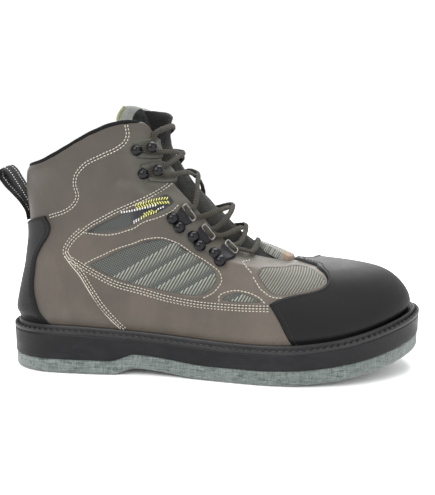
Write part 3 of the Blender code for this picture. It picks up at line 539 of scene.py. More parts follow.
# ---- Upper ----
# Vamp, quarters and padded shaft in taupe coated nubuck, cut in panels over a ribbed mesh that
# shows through the windows, lasted over the sole and open down the throat.
BACK_HEIGHT, FRONT_HEIGHT, WALL, COLLAR_PADDING = 0.160, 0.192, 0.0028, 0.0035
WINDOW_DEPTH, SLIT_DEPTH, SEAM_DEPTH = 0.0010, 0.0016, 0.00035
# The toe is drawn in by this much over the welt, as the photo's blunter cap shows
TOE_TRIM = 0.0045
SIDES = ((-1.0, "lateral"), (1.0, "medial"))
# Columns: level; back's place along the sole and height; the same for the front; widths of the
# foot's plan at heel and ball; width of the oval shaft; how far oval; how far along the sole
RINGS = (
    (0.00, 0.017, 0.000, 0.983, 0.000, 1.00, 1.00, 0.33, 0.00, 1.00),
    (0.06, 0.014, 0.072, 0.985, 0.040, 1.06, 1.03, 0.36, 0.00, 1.00),
    (0.13, 0.020, 0.160, 0.976, 0.100, 1.08, 1.01, 0.36, 0.00, 0.85),
    (0.20, 0.029, 0.260, 0.954, 0.163, 1.07, 0.98, 0.36, 0.00, 0.65),
    (0.27, 0.038, 0.357, 0.924, 0.203, 1.05, 0.92, 0.36, 0.02, 0.42),
    (0.35, 0.044, 0.454, 0.872, 0.224, 1.04, 0.85, 0.350, 0.10, 0.24),
    (0.43, 0.049, 0.550, 0.802, 0.231, 1.03, 0.79, 0.345, 0.25, 0.12),
    (0.51, 0.049, 0.634, 0.726, 0.242, 1.03, 0.76, 0.342, 0.45, 0.05),
    (0.59, 0.047, 0.715, 0.649, 0.285, 1.03, 0.75, 0.340, 0.65, 0.00),
    (0.67, 0.044, 0.788, 0.582, 0.375, 1.03, 0.75, 0.337, 0.80, 0.00),
    (0.75, 0.043, 0.853, 0.521, 0.520, 1.03, 0.75, 0.334, 0.92, 0.00),
    (0.83, 0.044, 0.910, 0.460, 0.680, 1.03, 0.75, 0.333, 1.00, 0.00),
    (0.91, 0.047, 0.960, 0.415, 0.840, 1.03, 0.75, 0.338, 1.00, 0.00),
    (1.00, 0.053, 1.000, 0.390, 1.000, 1.03, 0.75, 0.345, 1.00, 0.00),
)
# Columns: level; half the throat's width as a turn from the front
THROAT = (
    (0.515, 0.000), (0.530, 0.012), (0.550, 0.045), (0.575, 0.068), (0.600, 0.082), (0.650, 0.089),
    (0.750, 0.089), (0.850, 0.089), (0.920, 0.083), (1.000, 0.066),
)


def upper_surface(turn, level):
    """The upper's face: rings that change with the level from the sole's plan to an oval shaft."""
    turn, level = np.broadcast_arrays(np.asarray(turn, float), np.asarray(level, float))
    share, side = turn_share(turn)
    back_x, back_up, front_x, front_up, heel_wide, ball_wide, oval_wide, oval, follow = (
        through(RINGS, column, level) for column in range(1, 10)
    )
    x = -HEEL_CENTRE + SOLE_LENGTH * (back_x + share * (front_x - back_x))
    x = x - TOE_TRIM * smooth(0.78, 1.0, share) * (1.0 - smooth(0.28, 0.48, level))
    place = (x + HEEL_CENTRE) / SOLE_LENGTH
    wide = heel_wide + (ball_wide - heel_wide) * smooth(0.3, 0.7, share)
    foot = (through(SOLE_PLAN, 1, share) * BALL_WIDTH * wide - LEDGE) * round_ends(share)
    power = 2.3 - 0.5 * (1.0 - smooth(0.55, 0.85, level)) * smooth(0.5, 1.0, share)
    shaft = oval_wide * BALL_WIDTH * (1.0 - np.abs(2.0 * share - 1.0) ** power) ** (1.0 / power)
    middle = through(SOLE_PLAN, 2, share) * BALL_WIDTH * (1.0 - oval)
    middle = np.where(middle < 0.0, middle * (1.0 - 0.75 * smooth(0.0, 0.3, level)), middle)
    y = middle + side * (foot + (shaft - foot) * oval)
    back_z = HEEL_STACK + CLEARANCE + back_up * (BACK_HEIGHT - HEEL_STACK)
    toe_seat = float(seat(1.0))
    front_z = toe_seat + CLEARANCE + front_up * (FRONT_HEIGHT - toe_seat)
    vamp = (share + smooth(0.0, 1.0, share)) / 2.0
    rise = vamp + (smooth(0.0, 0.80, share) - vamp) * smooth(0.75, 1.0, level)
    straight = back_z + (front_z - back_z) * rise
    lift = (back_z - HEEL_STACK) + share * ((front_z - toe_seat) - (back_z - HEEL_STACK))
    return np.stack([x, y, straight + follow * (seat(place) + lift - straight)], axis=-1)


def upper_normal(turn, level, step=0.003):
    """The face's outward direction: the cross product of small steps along turn and level."""
    along = upper_surface(turn + step, level) - upper_surface(turn - step, level)
    low, high = np.clip(level - step, 0.0, 1.0), np.clip(level + step, 0.0, 1.0)
    return unit(np.cross(along, upper_surface(turn, high) - upper_surface(turn, low)))


def refine(table, count):
    """A smooth line through a short table of points, at even steps of its length."""
    run = run_of(np.asarray(table, float))
    rows, fine = np.column_stack([run, table]), np.linspace(0.0, run[-1], count)
    return np.stack([through(rows, k, fine) for k in range(1, rows.shape[1])], axis=-1)


def nearest(points, line, reach):
    """Distance from each point of a list to a line of points, cut off at this reach."""
    found = np.full(len(points), reach)
    low, high = line.min(axis=0) - reach, line.max(axis=0) + reach
    near = np.nonzero(((points > low) & (points < high)).all(axis=1))[0]
    for part in np.array_split(near, max(1, len(near) // 4000)):
        best = np.full(len(part), reach)
        for a, b in zip(line[:-1], line[1:]):
            edge = b - a
            if edge.any():
                t = np.clip((points[part] - a) @ edge / float(edge @ edge), 0.0, 1.0)
                best = np.minimum(best, np.linalg.norm(points[part] - a - t[:, None] * edge, axis=1))
        found[part] = best
    return found


def within(turn, level, table):
    """Whether places lie inside a closed outline of turn and level, by counting crossings."""
    inside = np.zeros(turn.shape, bool)
    for (t0, l0), (t1, l1) in zip(table, np.roll(table, -1, axis=0)):
        if l0 != l1:
            crosses = (l0 > level) != (l1 > level)
            inside ^= crosses & (turn < (t1 - t0) * (level - l0) / (l1 - l0) + t0)
    return inside


def pairs(*thousandths):
    """A table of turns back from the front and levels, from a run of thousandths."""
    return np.array(thousandths).reshape(-1, 2) / 1000.0


# Windows and the slit, round each outline
SIDE_WINDOW = pairs(
    367, 318, 356, 345, 345, 370, 330, 406, 313, 442, 286, 495, 259, 546, 238, 575, 219, 596,
    207, 603, 198, 596, 199, 575, 208, 522, 215, 470, 221, 424, 224, 385, 225, 352, 229, 310,
    233, 280, 240, 250, 247, 227, 256, 208, 268, 205, 282, 209, 303, 220, 325, 234, 346, 260,
    360, 290, 367, 318,
)
BALL_WINDOW = pairs(
    232, 198, 228, 212, 222, 222, 213, 230, 204, 224, 199, 214, 194, 201, 205, 196, 220, 196,
    232, 198,
)
VAMP_WINDOW = pairs(
    60, 492, 60, 478, 74, 440, 88, 402, 99, 368, 105, 340, 109, 318, 116, 294, 129, 270, 148, 249,
    163, 236, 174, 234, 180, 250, 181, 285, 178, 325, 170, 362, 161, 388, 146, 425, 129, 450,
    107, 466, 85, 484, 67, 497, 60, 492,
)
SLIT = pairs(
    354, 516, 328, 580, 300, 634, 268, 682, 236, 720, 206, 746, 177, 768, 148, 786, 123, 798,
    122, 779, 144, 759, 180, 731, 218, 700, 234, 680, 249, 656, 278, 614, 305, 572, 330, 542,
    354, 516,
)
# Seams: the cuff's, the long one that rounds the side window's tip, and the one before the heel
CUFF_SEAM = pairs(
    142, 996, 146, 962, 158, 944, 174, 934, 218, 920, 264, 904, 296, 870, 312, 828, 324, 758,
    346, 694, 377, 628, 407, 582,
)
LONG_SEAM = pairs(
    91, 836, 142, 804, 201, 764, 261, 710, 319, 620, 362, 514, 386, 426, 392, 390, 391, 355, 380, 322,
    361, 270, 339, 228, 318, 210, 289, 186, 261, 176, 236, 176, 212, 178, 186, 182,
)
HEEL_SEAM = pairs(
    394, 380, 388, 330, 377, 262, 366, 190, 354, 120, 343, 62, 334, 4,
)
# Soft troughs and ridges where the boot has flexed. Columns: turn and level of both ends, the
# width and the depth in millimetres, below 0 for a ridge
CREASES = (
    (0.100, 0.820, 0.200, 0.850, 5.0, 1.5), (0.100, 0.775, 0.165, 0.800, 3.5, -0.9),
    (0.100, 0.885, 0.190, 0.880, 5.0, 1.4), (0.110, 0.950, 0.220, 0.905, 7.0, -0.9),
    (0.230, 0.830, 0.330, 0.720, 13.0, 2.2), (0.340, 0.900, 0.410, 0.740, 13.0, 1.6),
    (0.280, 0.960, 0.420, 0.930, 9.0, -0.6), (0.400, 0.640, 0.440, 0.520, 9.0, 0.7),
    (0.300, 0.140, 0.400, 0.200, 11.0, 0.6), (0.190, 0.330, 0.210, 0.420, 6.0, 0.5),
    (0.230, 0.100, 0.300, 0.130, 12.0, -0.5), (0.110, 0.560, 0.160, 0.420, 5.0, 0.5),
)


def upper_line(table, side, count=160):
    """A refined line of turns and levels and its points on the upper."""
    line = refine(table, count)
    return line, upper_surface(side * line[:, 0], line[:, 1])


def front_turn(turn):
    """How far a turn lies back from the front, on either side."""
    return np.minimum(turn % 1.0, 1.0 - turn % 1.0)


def corner_drop(turn, level):
    """Levels lowered at the collar's front corners, so that they round off into the throat."""
    near = 1.0 - smooth(0.0, 0.040, front_turn(turn) - THROAT[-1][1])
    return level - 0.050 * near**2 * smooth(0.80, 1.0, level)


def bell(value, middle, width):
    """exp(-((value - middle) / width)^2)."""
    return np.exp(-(((value - middle) / width) ** 2))


def upper_relief(turn, level):
    """How far the face stands out of the rings: windows sunk, seams pulled in, creases, padding."""
    turn, level = np.broadcast_arrays(np.asarray(turn, float) % 1.0, np.asarray(level, float))
    points, far = upper_surface(turn, level), 0.012
    window, slit, seam = (np.full(turn.shape, 0.03) for _ in range(3))
    which, bend = np.zeros(turn.shape), np.zeros(turn.shape)
    for side, _ in SIDES:
        mine = (turn < 0.5) if side > 0.0 else (turn >= 0.5)
        place = points[mine], front_turn(turn[mine]), level[mine]
        for number, table in enumerate((SIDE_WINDOW, BALL_WINDOW, VAMP_WINDOW, SLIT), 1):
            line, spots = upper_line(table, side)
            away = nearest(place[0], spots, far) * np.where(within(*place[1:], line), -1.0, 1.0)
            if table is SLIT:
                slit[mine] = away
            else:
                which[mine] = np.where(away < window[mine], number, which[mine])
                window[mine] = np.minimum(window[mine], away)
        for table in (CUFF_SEAM, LONG_SEAM, HEEL_SEAM):
            seam[mine] = np.minimum(seam[mine], nearest(place[0], upper_line(table, side, 80)[1], far))
        for t0, l0, t1, l1, width, depth in CREASES:
            ends = ((t0, l0), ((t0 + t1) / 2.0, (l0 + l1) / 2.0), (t1, l1))
            away = nearest(place[0], upper_line(ends, side, 12)[1], width * 0.0035)
            bend[mine] -= depth * 0.001 * bell(away, 0.0, width * 0.001)
    height = bend - WINDOW_DEPTH * smooth(0.0005, -0.0005, window)
    height = height + 0.0004 * bell(window, -0.0045, 0.0040) * (window < 0.0)
    height = height - SLIT_DEPTH * smooth(0.0006, -0.0006, slit) - SEAM_DEPTH * bell(seam, 0.0, 0.0016)
    height = height + 0.0005 * smooth(0.60, 0.78, level) * (1.0 - smooth(0.93, 1.0, level))
    return height, window, which, slit, seam


def upper_point(turn, level, out=0.0, relief=True):
    """A point over the dressed face of the upper, with the face's outward direction."""
    turn, level = np.broadcast_arrays(np.asarray(turn, float), np.asarray(level, float))
    normal = upper_normal(turn, level)
    height = out + (upper_relief(turn, level)[0] if relief else 0.0)
    return upper_surface(turn, level) + normal * np.asarray(height)[..., None], normal


nubuck, at = new_finish("taupe_nubuck", roughness=0.55, sheen=0.06, specular=0.40)
x, y, z = at.parts()
window, slit, seam, zone, stay = map(at.kept, ("window", "slit", "seam", "zone", "stay"))
pore = at.noise(1700.0)
hide = at.noise(520.0, 3.0)
cloud = at.noise(24.0, 3.0, 0.55)
streak = at.stretched(1.0, 1.0, 0.35).noise(60.0, 3.0)
scuff = at.stretched(0.5, 1.0, 1.6).noise(300.0, 4.0, 0.75)
taupe = cloud.ramp(0.30, 0.70).blend((0.0442, 0.0357, 0.0275), (0.0635, 0.0511, 0.0397))
# Dark cut edges round the windows and the slit, with painted shade where the leather steps down into the
# openings
cut_edge_and_shade = window.ramp(0.0007, 0.0001) + slit.ramp(0.0007, 0.0001)
# Each share lays its colour over the last: pale streaks, painted shade darkening the shaft, painted
# light on the vamp, the greenish stay, pores, scuffs, painted shade along the seams, and dark cut edges with
# painted shade where the leather steps down into the openings
for amount, colour in (
    (streak.ramp(0.45, 0.75) * 0.45, (0.0731, 0.0578, 0.0448)),
    # Painted shade: darker higher up the shaft
    (z.ramp(0.085, 0.145) * 0.62, (0.0291, 0.0227, 0.0177)),
    # Painted light: paler towards the toe
    (x.ramp(0.105, 0.200) * 0.45, (0.0873, 0.0709, 0.0541)),
    (stay * 0.7, (0.0485, 0.0473, 0.0349)),
    (hide.ramp(0.45, 0.70) * 0.25, (0.034, 0.0275, 0.0215)),
    (scuff.ramp(0.66, 0.82) * 0.30, (0.0964, 0.0823, 0.0643)),
    # Painted shade along the seams
    (seam.ramp(0.0017, 0.0002) * 0.60, (0.025, 0.0195, 0.0149)),
    (cut_edge_and_shade * 0.8, (0.0107, 0.0088, 0.0069)),
):
    taupe = amount.blend(taupe, colour)
# Ribbed mesh: bands at 30 degrees, each with rope-like strands at 60 degrees under a painted
# highlight along its upper edge, fading down the band into a dark twill as painted shade. Over the first
# band lies the twill alone.
BAND_WIDTH, STRAND_PITCH, FIRST_X, FIRST_Z = 0.0117, 0.0021, 0.0509, 0.0781
band = ((x - FIRST_X) * 0.498 - (z - FIRST_Z) * 0.867) / BAND_WIDTH
strand = (x * 0.866 - z * 0.5).waves(STRAND_PITCH)
scallop = band + strand * 0.11 - 0.08
fall = scallop.maths("FRACT")
plain = scallop.ramp(0.02, -0.02)
# The strands fade down each band: painted shade
rope = fall.ramp(0.86, 0.30) * (1.0 - plain)
twill = (x * 0.5 + z * 0.866).waves(0.0016)
fine = (x * 0.9 - z * 0.43).waves(0.0015)
dark_twill = (twill * 0.5 + fine * 0.5).ramp(0.25, 0.85)
dark_twill = dark_twill.blend((0.0258, 0.0292, 0.0267), (0.0903, 0.0972, 0.086))
roping = (strand * 0.8 + at.noise(1800.0) * 0.3).ramp(0.20, 0.85)
roping = roping.blend((0.0344, 0.0378, 0.0327), (0.2021, 0.2064, 0.1763))
# Painted highlight along each band's upper edge
lit_edge = fall.ramp(0.22, 0.02) * (1.0 - plain) * strand.ramp(0.2, 0.6)
mesh_tone = (lit_edge * 0.7).blend(rope.blend(dark_twill, roping), (0.30, 0.305, 0.268))
rib = rope * (0.35 + strand * 0.65) + (1.0 - rope) * twill * fine * 0.3
# The vamp's mesh has wider, paler ribs
vamp_weave = (x * 0.83 - z * 0.56).waves(0.0018) * 0.8 + (x * 0.56 + z * 0.83).waves(0.0013) * 0.2
vamp_tone = vamp_weave.ramp(0.15, 0.8).blend((0.0529, 0.0543, 0.046), (0.184, 0.1794, 0.1518))
is_vamp = zone.ramp(2.3, 2.7)
mesh_tone = is_vamp.blend(mesh_tone, vamp_tone)
mesh_height = is_vamp * vamp_weave + (1.0 - is_vamp) * (rib * 1.4 + lit_edge * 0.5)
is_mesh = window.ramp(0.0001, -0.0003)
# Down the slit: dark mesh in its tail, a blue-black gap under the teeth
tail_tone = (twill * fine).ramp(0.1, 0.6).blend((0.0138, 0.0161, 0.0156), (0.0506, 0.0552, 0.0497))
slit_tone = x.ramp(0.062, 0.068).blend(tail_tone, (0.0037, 0.0041, 0.0083))
tone = slit.ramp(0.0001, -0.0003).blend(is_mesh.blend(taupe, mesh_tone), slit_tone)
leather_height = pore * 0.35 + hide * 0.35 + scuff * 0.15 + streak * 0.4
height = (1.0 - is_mesh) * leather_height * 0.35 + is_mesh * mesh_height * 0.9
shine = 0.46 + is_mesh * 0.4 + pore * 0.10 - streak.ramp(0.4, 0.7) * 0.08
dress(nubuck, tone, roughness=shine, height=height, depth=0.0011)
UPPER_COLUMNS, UPPER_ROWS, FOLD = 400, 166, 6
level = np.linspace(0.0, 1.0, UPPER_ROWS)
half = np.where(level < THROAT[0][0], 0.0, through(THROAT, 1, level))[:, None]
turn = half + (1.0 - 2.0 * half) * np.linspace(0.0, 1.0, UPPER_COLUMNS)[None, :]
fold = np.linspace(0.0, math.pi, FOLD + 1)[1:]
# The throat's edges and the collar are turned in: columns and rows beyond them run round the edge
turn = np.concatenate([np.repeat(turn[:, :1], FOLD, 1), turn, np.repeat(turn[:, -1:], FOLD, 1)], axis=1)
turn = np.concatenate([turn, np.repeat(turn[-1:], FOLD, 0)])
level = np.concatenate([level, np.ones(FOLD)])[:, None] + 0.0 * turn
level = corner_drop(turn, level)
relief, window_at, zone_at, slit_at, seam_at = upper_relief(turn, level)
normal = upper_normal(turn, level)
sideways = unit(upper_surface(turn + 0.002, level) - upper_surface(turn - 0.002, level))
upwards = np.cross(normal, sideways)
upwards *= np.sign(upwards[..., 2:])
open_here = smooth(0.52, 0.56, level[:, :1])
edge_radius, rim_radius = WALL / 2.0, (WALL + COLLAR_PADDING) / 2.0
slide, sink = np.zeros(turn.shape), np.zeros(turn.shape)
slide[:, :FOLD] = -(edge_radius * np.sin(fold))[::-1] * open_here
slide[:, -FOLD:] = edge_radius * np.sin(fold) * open_here
sink[:, :FOLD] = (edge_radius * (1.0 - np.cos(fold)))[::-1] * open_here
sink[:, -FOLD:] = edge_radius * (1.0 - np.cos(fold)) * open_here
climb = np.zeros(turn.shape)
climb[-FOLD:] = (rim_radius * 0.5 * np.sin(fold))[:, None]
sink[-FOLD:] = np.maximum(sink[-FOLD:], (rim_radius * (1.0 - np.cos(fold)))[:, None])
points = upper_surface(turn, level) + normal * (relief - sink)[..., None]
points += sideways * slide[..., None] + upwards * climb[..., None]
stay_at = smooth(0.100, 0.062, front_turn(turn) - through(THROAT, 1, np.maximum(level, 0.53)))
stay_at = stay_at * smooth(0.46, 0.56, level) * smooth(0.985, 0.93, level)
values = {"window": window_at, "zone": zone_at, "slit": slit_at, "seam": seam_at, "stay": stay_at}
fixed(new_piece("boot_upper", points, grid_faces(*turn.shape), nubuck, values=values), "leather", "upper")


# ---- Lining ----
# Charcoal spacer mesh over collar foam, glued inside the shaft and the foot. The foam thickens
# towards the collar.
LINING_ROWS, LINING_COLUMNS = 60, 160
lining, at = new_finish("lining_mesh", roughness=0.9, sheen=0.2)
cell = at.add("ShaderNodeTexVoronoi", {"feature": "F1"}, {"Vector": at, "Scale": 620.0})
tone = cell.ramp(0.25, 0.6).blend((0.0168, 0.0186, 0.018), (0.06, 0.063, 0.0588))
dress(lining, tone, height=cell, depth=0.0008)


def padding(level):
    """The shaft's thickness: its wall, and foam that thickens to the collar."""
    return WALL + COLLAR_PADDING * smooth(0.60, 0.90, level)


down = np.linspace(1.0, 0.012, LINING_ROWS)[:, None]
half = np.where(down < THROAT[0][0], 0.0, through(THROAT, 1, down))
turn = half + 0.001 + (0.998 - 2.0 * half) * np.linspace(0.0, 1.0, LINING_COLUMNS)
points = upper_point(turn, corner_drop(turn, down), -padding(down), relief=False)[0]
fixed(new_piece("boot_lining", points, grid_faces(LINING_ROWS, LINING_COLUMNS), lining), "footbed")


# ---- Seams of the upper ----
# Cream bonded thread in lock stitch: two rows along the cuff, the long seam and the one before
# the heel, three where a seam rounds the side window, and single rows round the openings.
CREAM_DARK, CREAM_PALE = (0.2639, 0.2406, 0.1893), (0.4583, 0.4375, 0.3705)
cream = grained("cream_thread", 2600.0, CREAM_DARK, CREAM_PALE, 0.0002, roughness=0.7, sheen=0.2)


def seam_rows(table, side, shifts, count=220, first=0.0):
    """Rows beside a seam, each moved across it by a shift, as points and outward directions."""
    line = refine(table, count)[int(first * (count - 1)) :]
    middle, out = upper_point(side * line[:, 0], line[:, 1])
    across = unit(np.cross(out, np.gradient(middle, axis=0)))
    return [(middle + across * shift * side, out) for shift in shifts]


def grown(table, shift):
    """An outline of turns and levels moved outwards, about this far in metres."""
    scale = np.array([0.30, 0.15])
    flat = table * scale
    ahead = np.roll(flat, -1, axis=0) - np.roll(flat, 1, axis=0)
    ahead[0] = ahead[-1] = flat[1] - flat[-2]
    out = unit(np.stack([ahead[:, 1], -ahead[:, 0]], axis=1))
    area = 0.5 * np.sum(flat[:-1, 0] * flat[1:, 1] - flat[1:, 0] * flat[:-1, 1])
    return (flat + out * shift * np.sign(area)) / scale


# Single rows beside the openings: which part of each outline is sewn, as indices into its table,
# and how far outside it
OPENING_ROWS = (
    (SIDE_WINDOW, 0, 21, 0.0019), (BALL_WINDOW, 0, 6, 0.0018), (VAMP_WINDOW, 3, 14, 0.0021),
    (SLIT, 9, 18, 0.0020),
)
STRAP_ROW = pairs(110, 545, 132, 520, 150, 475, 168, 415, 181, 350)
TWIN, OUTER_ROW = (-0.0010, 0.0010), 0.0030
sewn = []
for side, _ in SIDES:
    sewn += seam_rows(CUFF_SEAM, side, TWIN) + seam_rows(LONG_SEAM, side, TWIN)
    sewn += seam_rows(LONG_SEAM, side, (OUTER_ROW,), first=0.47) + seam_rows(HEEL_SEAM, side, TWIN)
    for table, start, stop, shift in OPENING_ROWS:
        sewn += seam_rows(grown(table, shift)[start : stop + 1], side, (0.0,))
    sewn += seam_rows(STRAP_ROW, side, (0.0,))
thread = stitches("upper_stitches", *zip(*sewn), cream, pitch=0.00265, space=0.24, radius=0.00041, sink=0.30)
fixed(thread, "leather")


def tube(path, radius, count, lift, flat=1.0, closed=False):
    """Rings of an oval of this radius along a path. flat squashes it along the lift direction."""
    ahead = np.roll(path, -1, axis=0) - np.roll(path, 1, axis=0) if closed else np.gradient(path, axis=0)
    ahead = unit(ahead)
    side = np.cross(ahead, np.broadcast_to(lift, path.shape))
    side /= np.maximum(np.linalg.norm(side, axis=1, keepdims=True), 1e-9)
    lift = np.cross(side, ahead)
    angle = 2.0 * math.pi * np.arange(count)[:, None] / count
    radius = np.broadcast_to(np.asarray(radius, float), (len(path),))[:, None, None]
    return path[:, None] + radius * (np.cos(angle) * side[:, None] + flat * np.sin(angle) * lift[:, None])


# A raised cord in the same cream follows the seam before the heel
CORD_RADIUS, CORD_SIDES, CORD_FLAT, CORD_SHIFT = 0.0005, 8, 0.8, 0.0027
for side, word in SIDES:
    line, out = seam_rows(HEEL_SEAM, side, (CORD_SHIFT,), first=0.04)[0]
    cord = tube(line, CORD_RADIUS, CORD_SIDES, out, CORD_FLAT)
    quads = grid_faces(len(line), CORD_SIDES, False, True)
    fixed(new_piece(f"heel_piping_{word}", cord, quads, cream), "leather")


# ---- Toothed trim of the slit ----
# Strips of yellow and white moulded teeth on a dark tape, like an open zip without a slider,
# sewn into the front half of the slit on both sides of its gap.
YELLOW, WHITE = ((0.36, 0.35, 0.07), (0.60, 0.58, 0.24)), ((0.42, 0.41, 0.42), (0.72, 0.71, 0.66))
TOOTH_PITCH, TOOTH_WIDTH, TOOTH_HEIGHT, TOOTH_FOOT, TOOTH_TAPER = 0.00200, 0.00115, 0.0019, -0.0009, 0.35
# Each row: turns and levels along it, a tooth's length and its slant
YELLOW_ROWS = (
    (pairs(207, 755, 197, 760, 164, 778, 140, 787, 127, 789), 0.0025, 0.60),
    (pairs(210, 743, 171, 765, 147, 774, 130, 777), 0.0024, -0.60),
    (pairs(216, 702, 194, 724, 171, 741), 0.0023, 0.45),
    (pairs(203, 722, 188, 735, 174, 746), 0.0016, -0.45),
)
WHITE_ROWS = (
    (pairs(250, 712, 213, 735, 183, 753, 158, 766), 0.0018, 0.15),
    (pairs(240, 672, 228, 688, 217, 700), 0.0024, 0.45),
    (pairs(167, 748, 150, 760), 0.0014, 0.10),
)


def teeth_row(table, side, length, slant):
    """Tapered blocks at an even pitch along a row, leaning along it, as points and quads."""
    fine = refine(table, 120) * (side, 1.0)
    line, out = upper_surface(*fine.T), upper_normal(*fine.T)
    run = run_of(line)
    spots = np.arange(0.5, run[-1] / TOOTH_PITCH) * TOOTH_PITCH
    centre, rise = between(spots, run, line), between(spots, run, out)
    ahead = unit(np.gradient(centre, axis=0))
    across = np.cross(rise, ahead) + ahead * slant
    corners = np.meshgrid((-0.5, 0.5), (-0.5, 0.5), (0.0, 1.0), indexing="ij")
    i, j, k = (part.ravel()[:, None] for part in corners)
    taper = 1.0 - TOOTH_TAPER * k
    block = centre[:, None] + ahead[:, None] * (i * taper * TOOTH_WIDTH)
    block = block + across[:, None] * (j * taper * length) + rise[:, None] * (TOOTH_FOOT + k * TOOTH_HEIGHT)
    one = np.array([[0, 1, 3, 2], [4, 6, 7, 5], [0, 4, 5, 1], [2, 3, 7, 6], [1, 5, 7, 3], [0, 2, 6, 4]])
    return block.reshape(-1, 3), (one[None] + 8 * np.arange(len(spots))[:, None, None]).reshape(-1, 4)


def gathered(name, parts, finish, soft=True):
    """One mesh from several sets of points and quads."""
    points, faces, first = [], [], 0
    for spots, quads in parts:
        points.append(spots.reshape(-1, 3))
        faces.append(quads + first)
        first += len(points[-1])
    return new_piece(name, np.concatenate(points), np.concatenate(faces), finish, soft)


for name, table, colours in (("yellow", YELLOW_ROWS, YELLOW), ("white", WHITE_ROWS, WHITE)):
    finish = grained(f"{name}_teeth", 800.0, *colours, None, 0.5, (0.35, 0.65), roughness=0.4, specular=0.4)
    rows = [teeth_row(line, side, length, slant) for side, _ in SIDES for line, length, slant in table]
    teeth = gathered(f"slit_teeth_{name}", rows, finish, soft=False)
    edges = teeth.modifiers.new("edges", "BEVEL")
    edges.width, edges.segments = 0.00012, 1
    fixed(teeth, "tongue_cloth")


# ---- Toe cap and heel strip ----
# Black rubberised overlays, cemented on and edge stitched in dark thread: a cap with a tab up to
# the throat, and a backstay with a pointed corner to each side.
coated, at = new_finish("black_overlay", roughness=0.5, specular=0.2)
pebble = at.noise(1300.0)
bloom = at.noise(38.0, 3.0)
rub = at.stretched(1.0, 1.0, 0.6).noise(240.0, 4.0, 0.7)
border = at.kept("border")
tone = bloom.ramp(0.3, 0.7).blend((0.0080, 0.0080, 0.0081), (0.0115, 0.0115, 0.0116))
tone = (pebble.ramp(0.5, 0.75) * 0.4).blend(tone, (0.01, 0.01, 0.01))
tone = (rub.ramp(0.64, 0.8) * 0.3).blend(tone, (0.0146, 0.0146, 0.0146))
# Painted shade: the overlays darken towards the bottom
tone = at.parts()[2].ramp(0.100, 0.045).blend(tone, (0.0012, 0.0012, 0.0013))
sewn_in = border.ramp(0.0014, 0.0021) * border.ramp(0.0033, 0.0026)
tone = (sewn_in * 0.75).blend(tone, (0.0007, 0.0007, 0.0007))
tone = (border.ramp(0.0014, 0.0003) * 0.6).blend(tone, (0.0016, 0.0016, 0.0016))
dress(coated, tone, roughness=0.46 + pebble * 0.16, height=pebble * 0.5 + rub * 0.3, depth=0.0004)


def rim_distance(points, foot=True):
    """How far each point of a grid lies from its border. Without foot, the first row is no border."""
    down = np.linalg.norm(np.diff(points, axis=0), axis=-1)
    over = np.linalg.norm(np.diff(points, axis=1), axis=-1)
    down = np.concatenate([np.zeros_like(down[:1]), np.cumsum(down, axis=0)])
    over = np.concatenate([np.zeros_like(over[:, :1]), np.cumsum(over, axis=1)], axis=1)
    return np.minimum.reduce([down[-1:] - down, over, over[:, -1:] - over] + [down] * foot)


def sheet_over(turn, level, base, thick, rim, relief=0.0, foot=True):
    """A sheet over the upper whose border rolls down to base as a quarter ellipse, and each point's
    distance from that border."""
    flat = upper_surface(turn, level)
    away = rim_distance(flat, foot)
    round_off = np.sqrt(1.0 - (1.0 - np.clip(away / rim, 0.0, 1.0)) ** 2)
    out = base + (thick - base) * round_off + relief
    return flat + upper_normal(turn, level) * out[..., None], away


OVERLAY_THICK, OVERLAY_THIN, OVERLAY_FOOT, OVERLAY_BASE, OVERLAY_RIM = 0.0025, 0.0019, 0.002, -0.0003, 0.0016


def overlay(turn, level, flex=0.0):
    """A black overlay, thinner where it meets the welt, with its lower edge left open."""
    thick = OVERLAY_THICK - OVERLAY_THIN * (1.0 - smooth(0.01, 0.07, level))
    return sheet_over(turn, level, OVERLAY_BASE, thick, OVERLAY_RIM, flex, foot=False)


# Columns: share of the cap's half width from the ridge; level of its upper edge
TOE_CAP = (
    (0.00, 0.535), (0.08, 0.533), (0.13, 0.510), (0.25, 0.468), (0.40, 0.420), (0.54, 0.342),
    (0.61, 0.294), (0.68, 0.262), (0.76, 0.246), (0.84, 0.236), (0.94, 0.214), (1.00, 0.192),
)
CAP_TURN_LOW, CAP_TURN_HIGH = 0.170, 0.186
share = np.linspace(-1.0, 1.0, 321)
up = np.linspace(0.0, 1.0, 120)[:, None]
turn = share * (CAP_TURN_LOW + (CAP_TURN_HIGH - CAP_TURN_LOW) * up)
level = OVERLAY_FOOT + (through(TOE_CAP, 1, np.abs(share)) - OVERLAY_FOOT) * up
flex = 0.0003 * np.sin(2.0 * math.pi * (level * 9.0 + np.abs(turn) * 6.0)) * smooth(0.30, 0.50, level)
cap = "toe_cap_overlay", "toe_cap", *overlay(turn, level, flex)
# Columns: level; half the strip's width as a turn from the back
HEEL_STRIP = (
    (0.002, 0.089), (0.05, 0.080), (0.12, 0.070), (0.18, 0.062), (0.25, 0.058), (0.31, 0.058),
    (0.39, 0.069), (0.46, 0.084), (0.52, 0.092), (0.585, 0.088),
)
share = np.linspace(-1.0, 1.0, 121)
level = np.linspace(HEEL_STRIP[0][0], HEEL_STRIP[-1][0], 150)[:, None]
turn = 0.5 + through(HEEL_STRIP, 1, level) * share
level = OVERLAY_FOOT + (level - OVERLAY_FOOT) * (1.0 - 0.15 * (1.0 - np.abs(share)))
backstay = "heel_strip_overlay", "heel_strip", *overlay(turn, level)

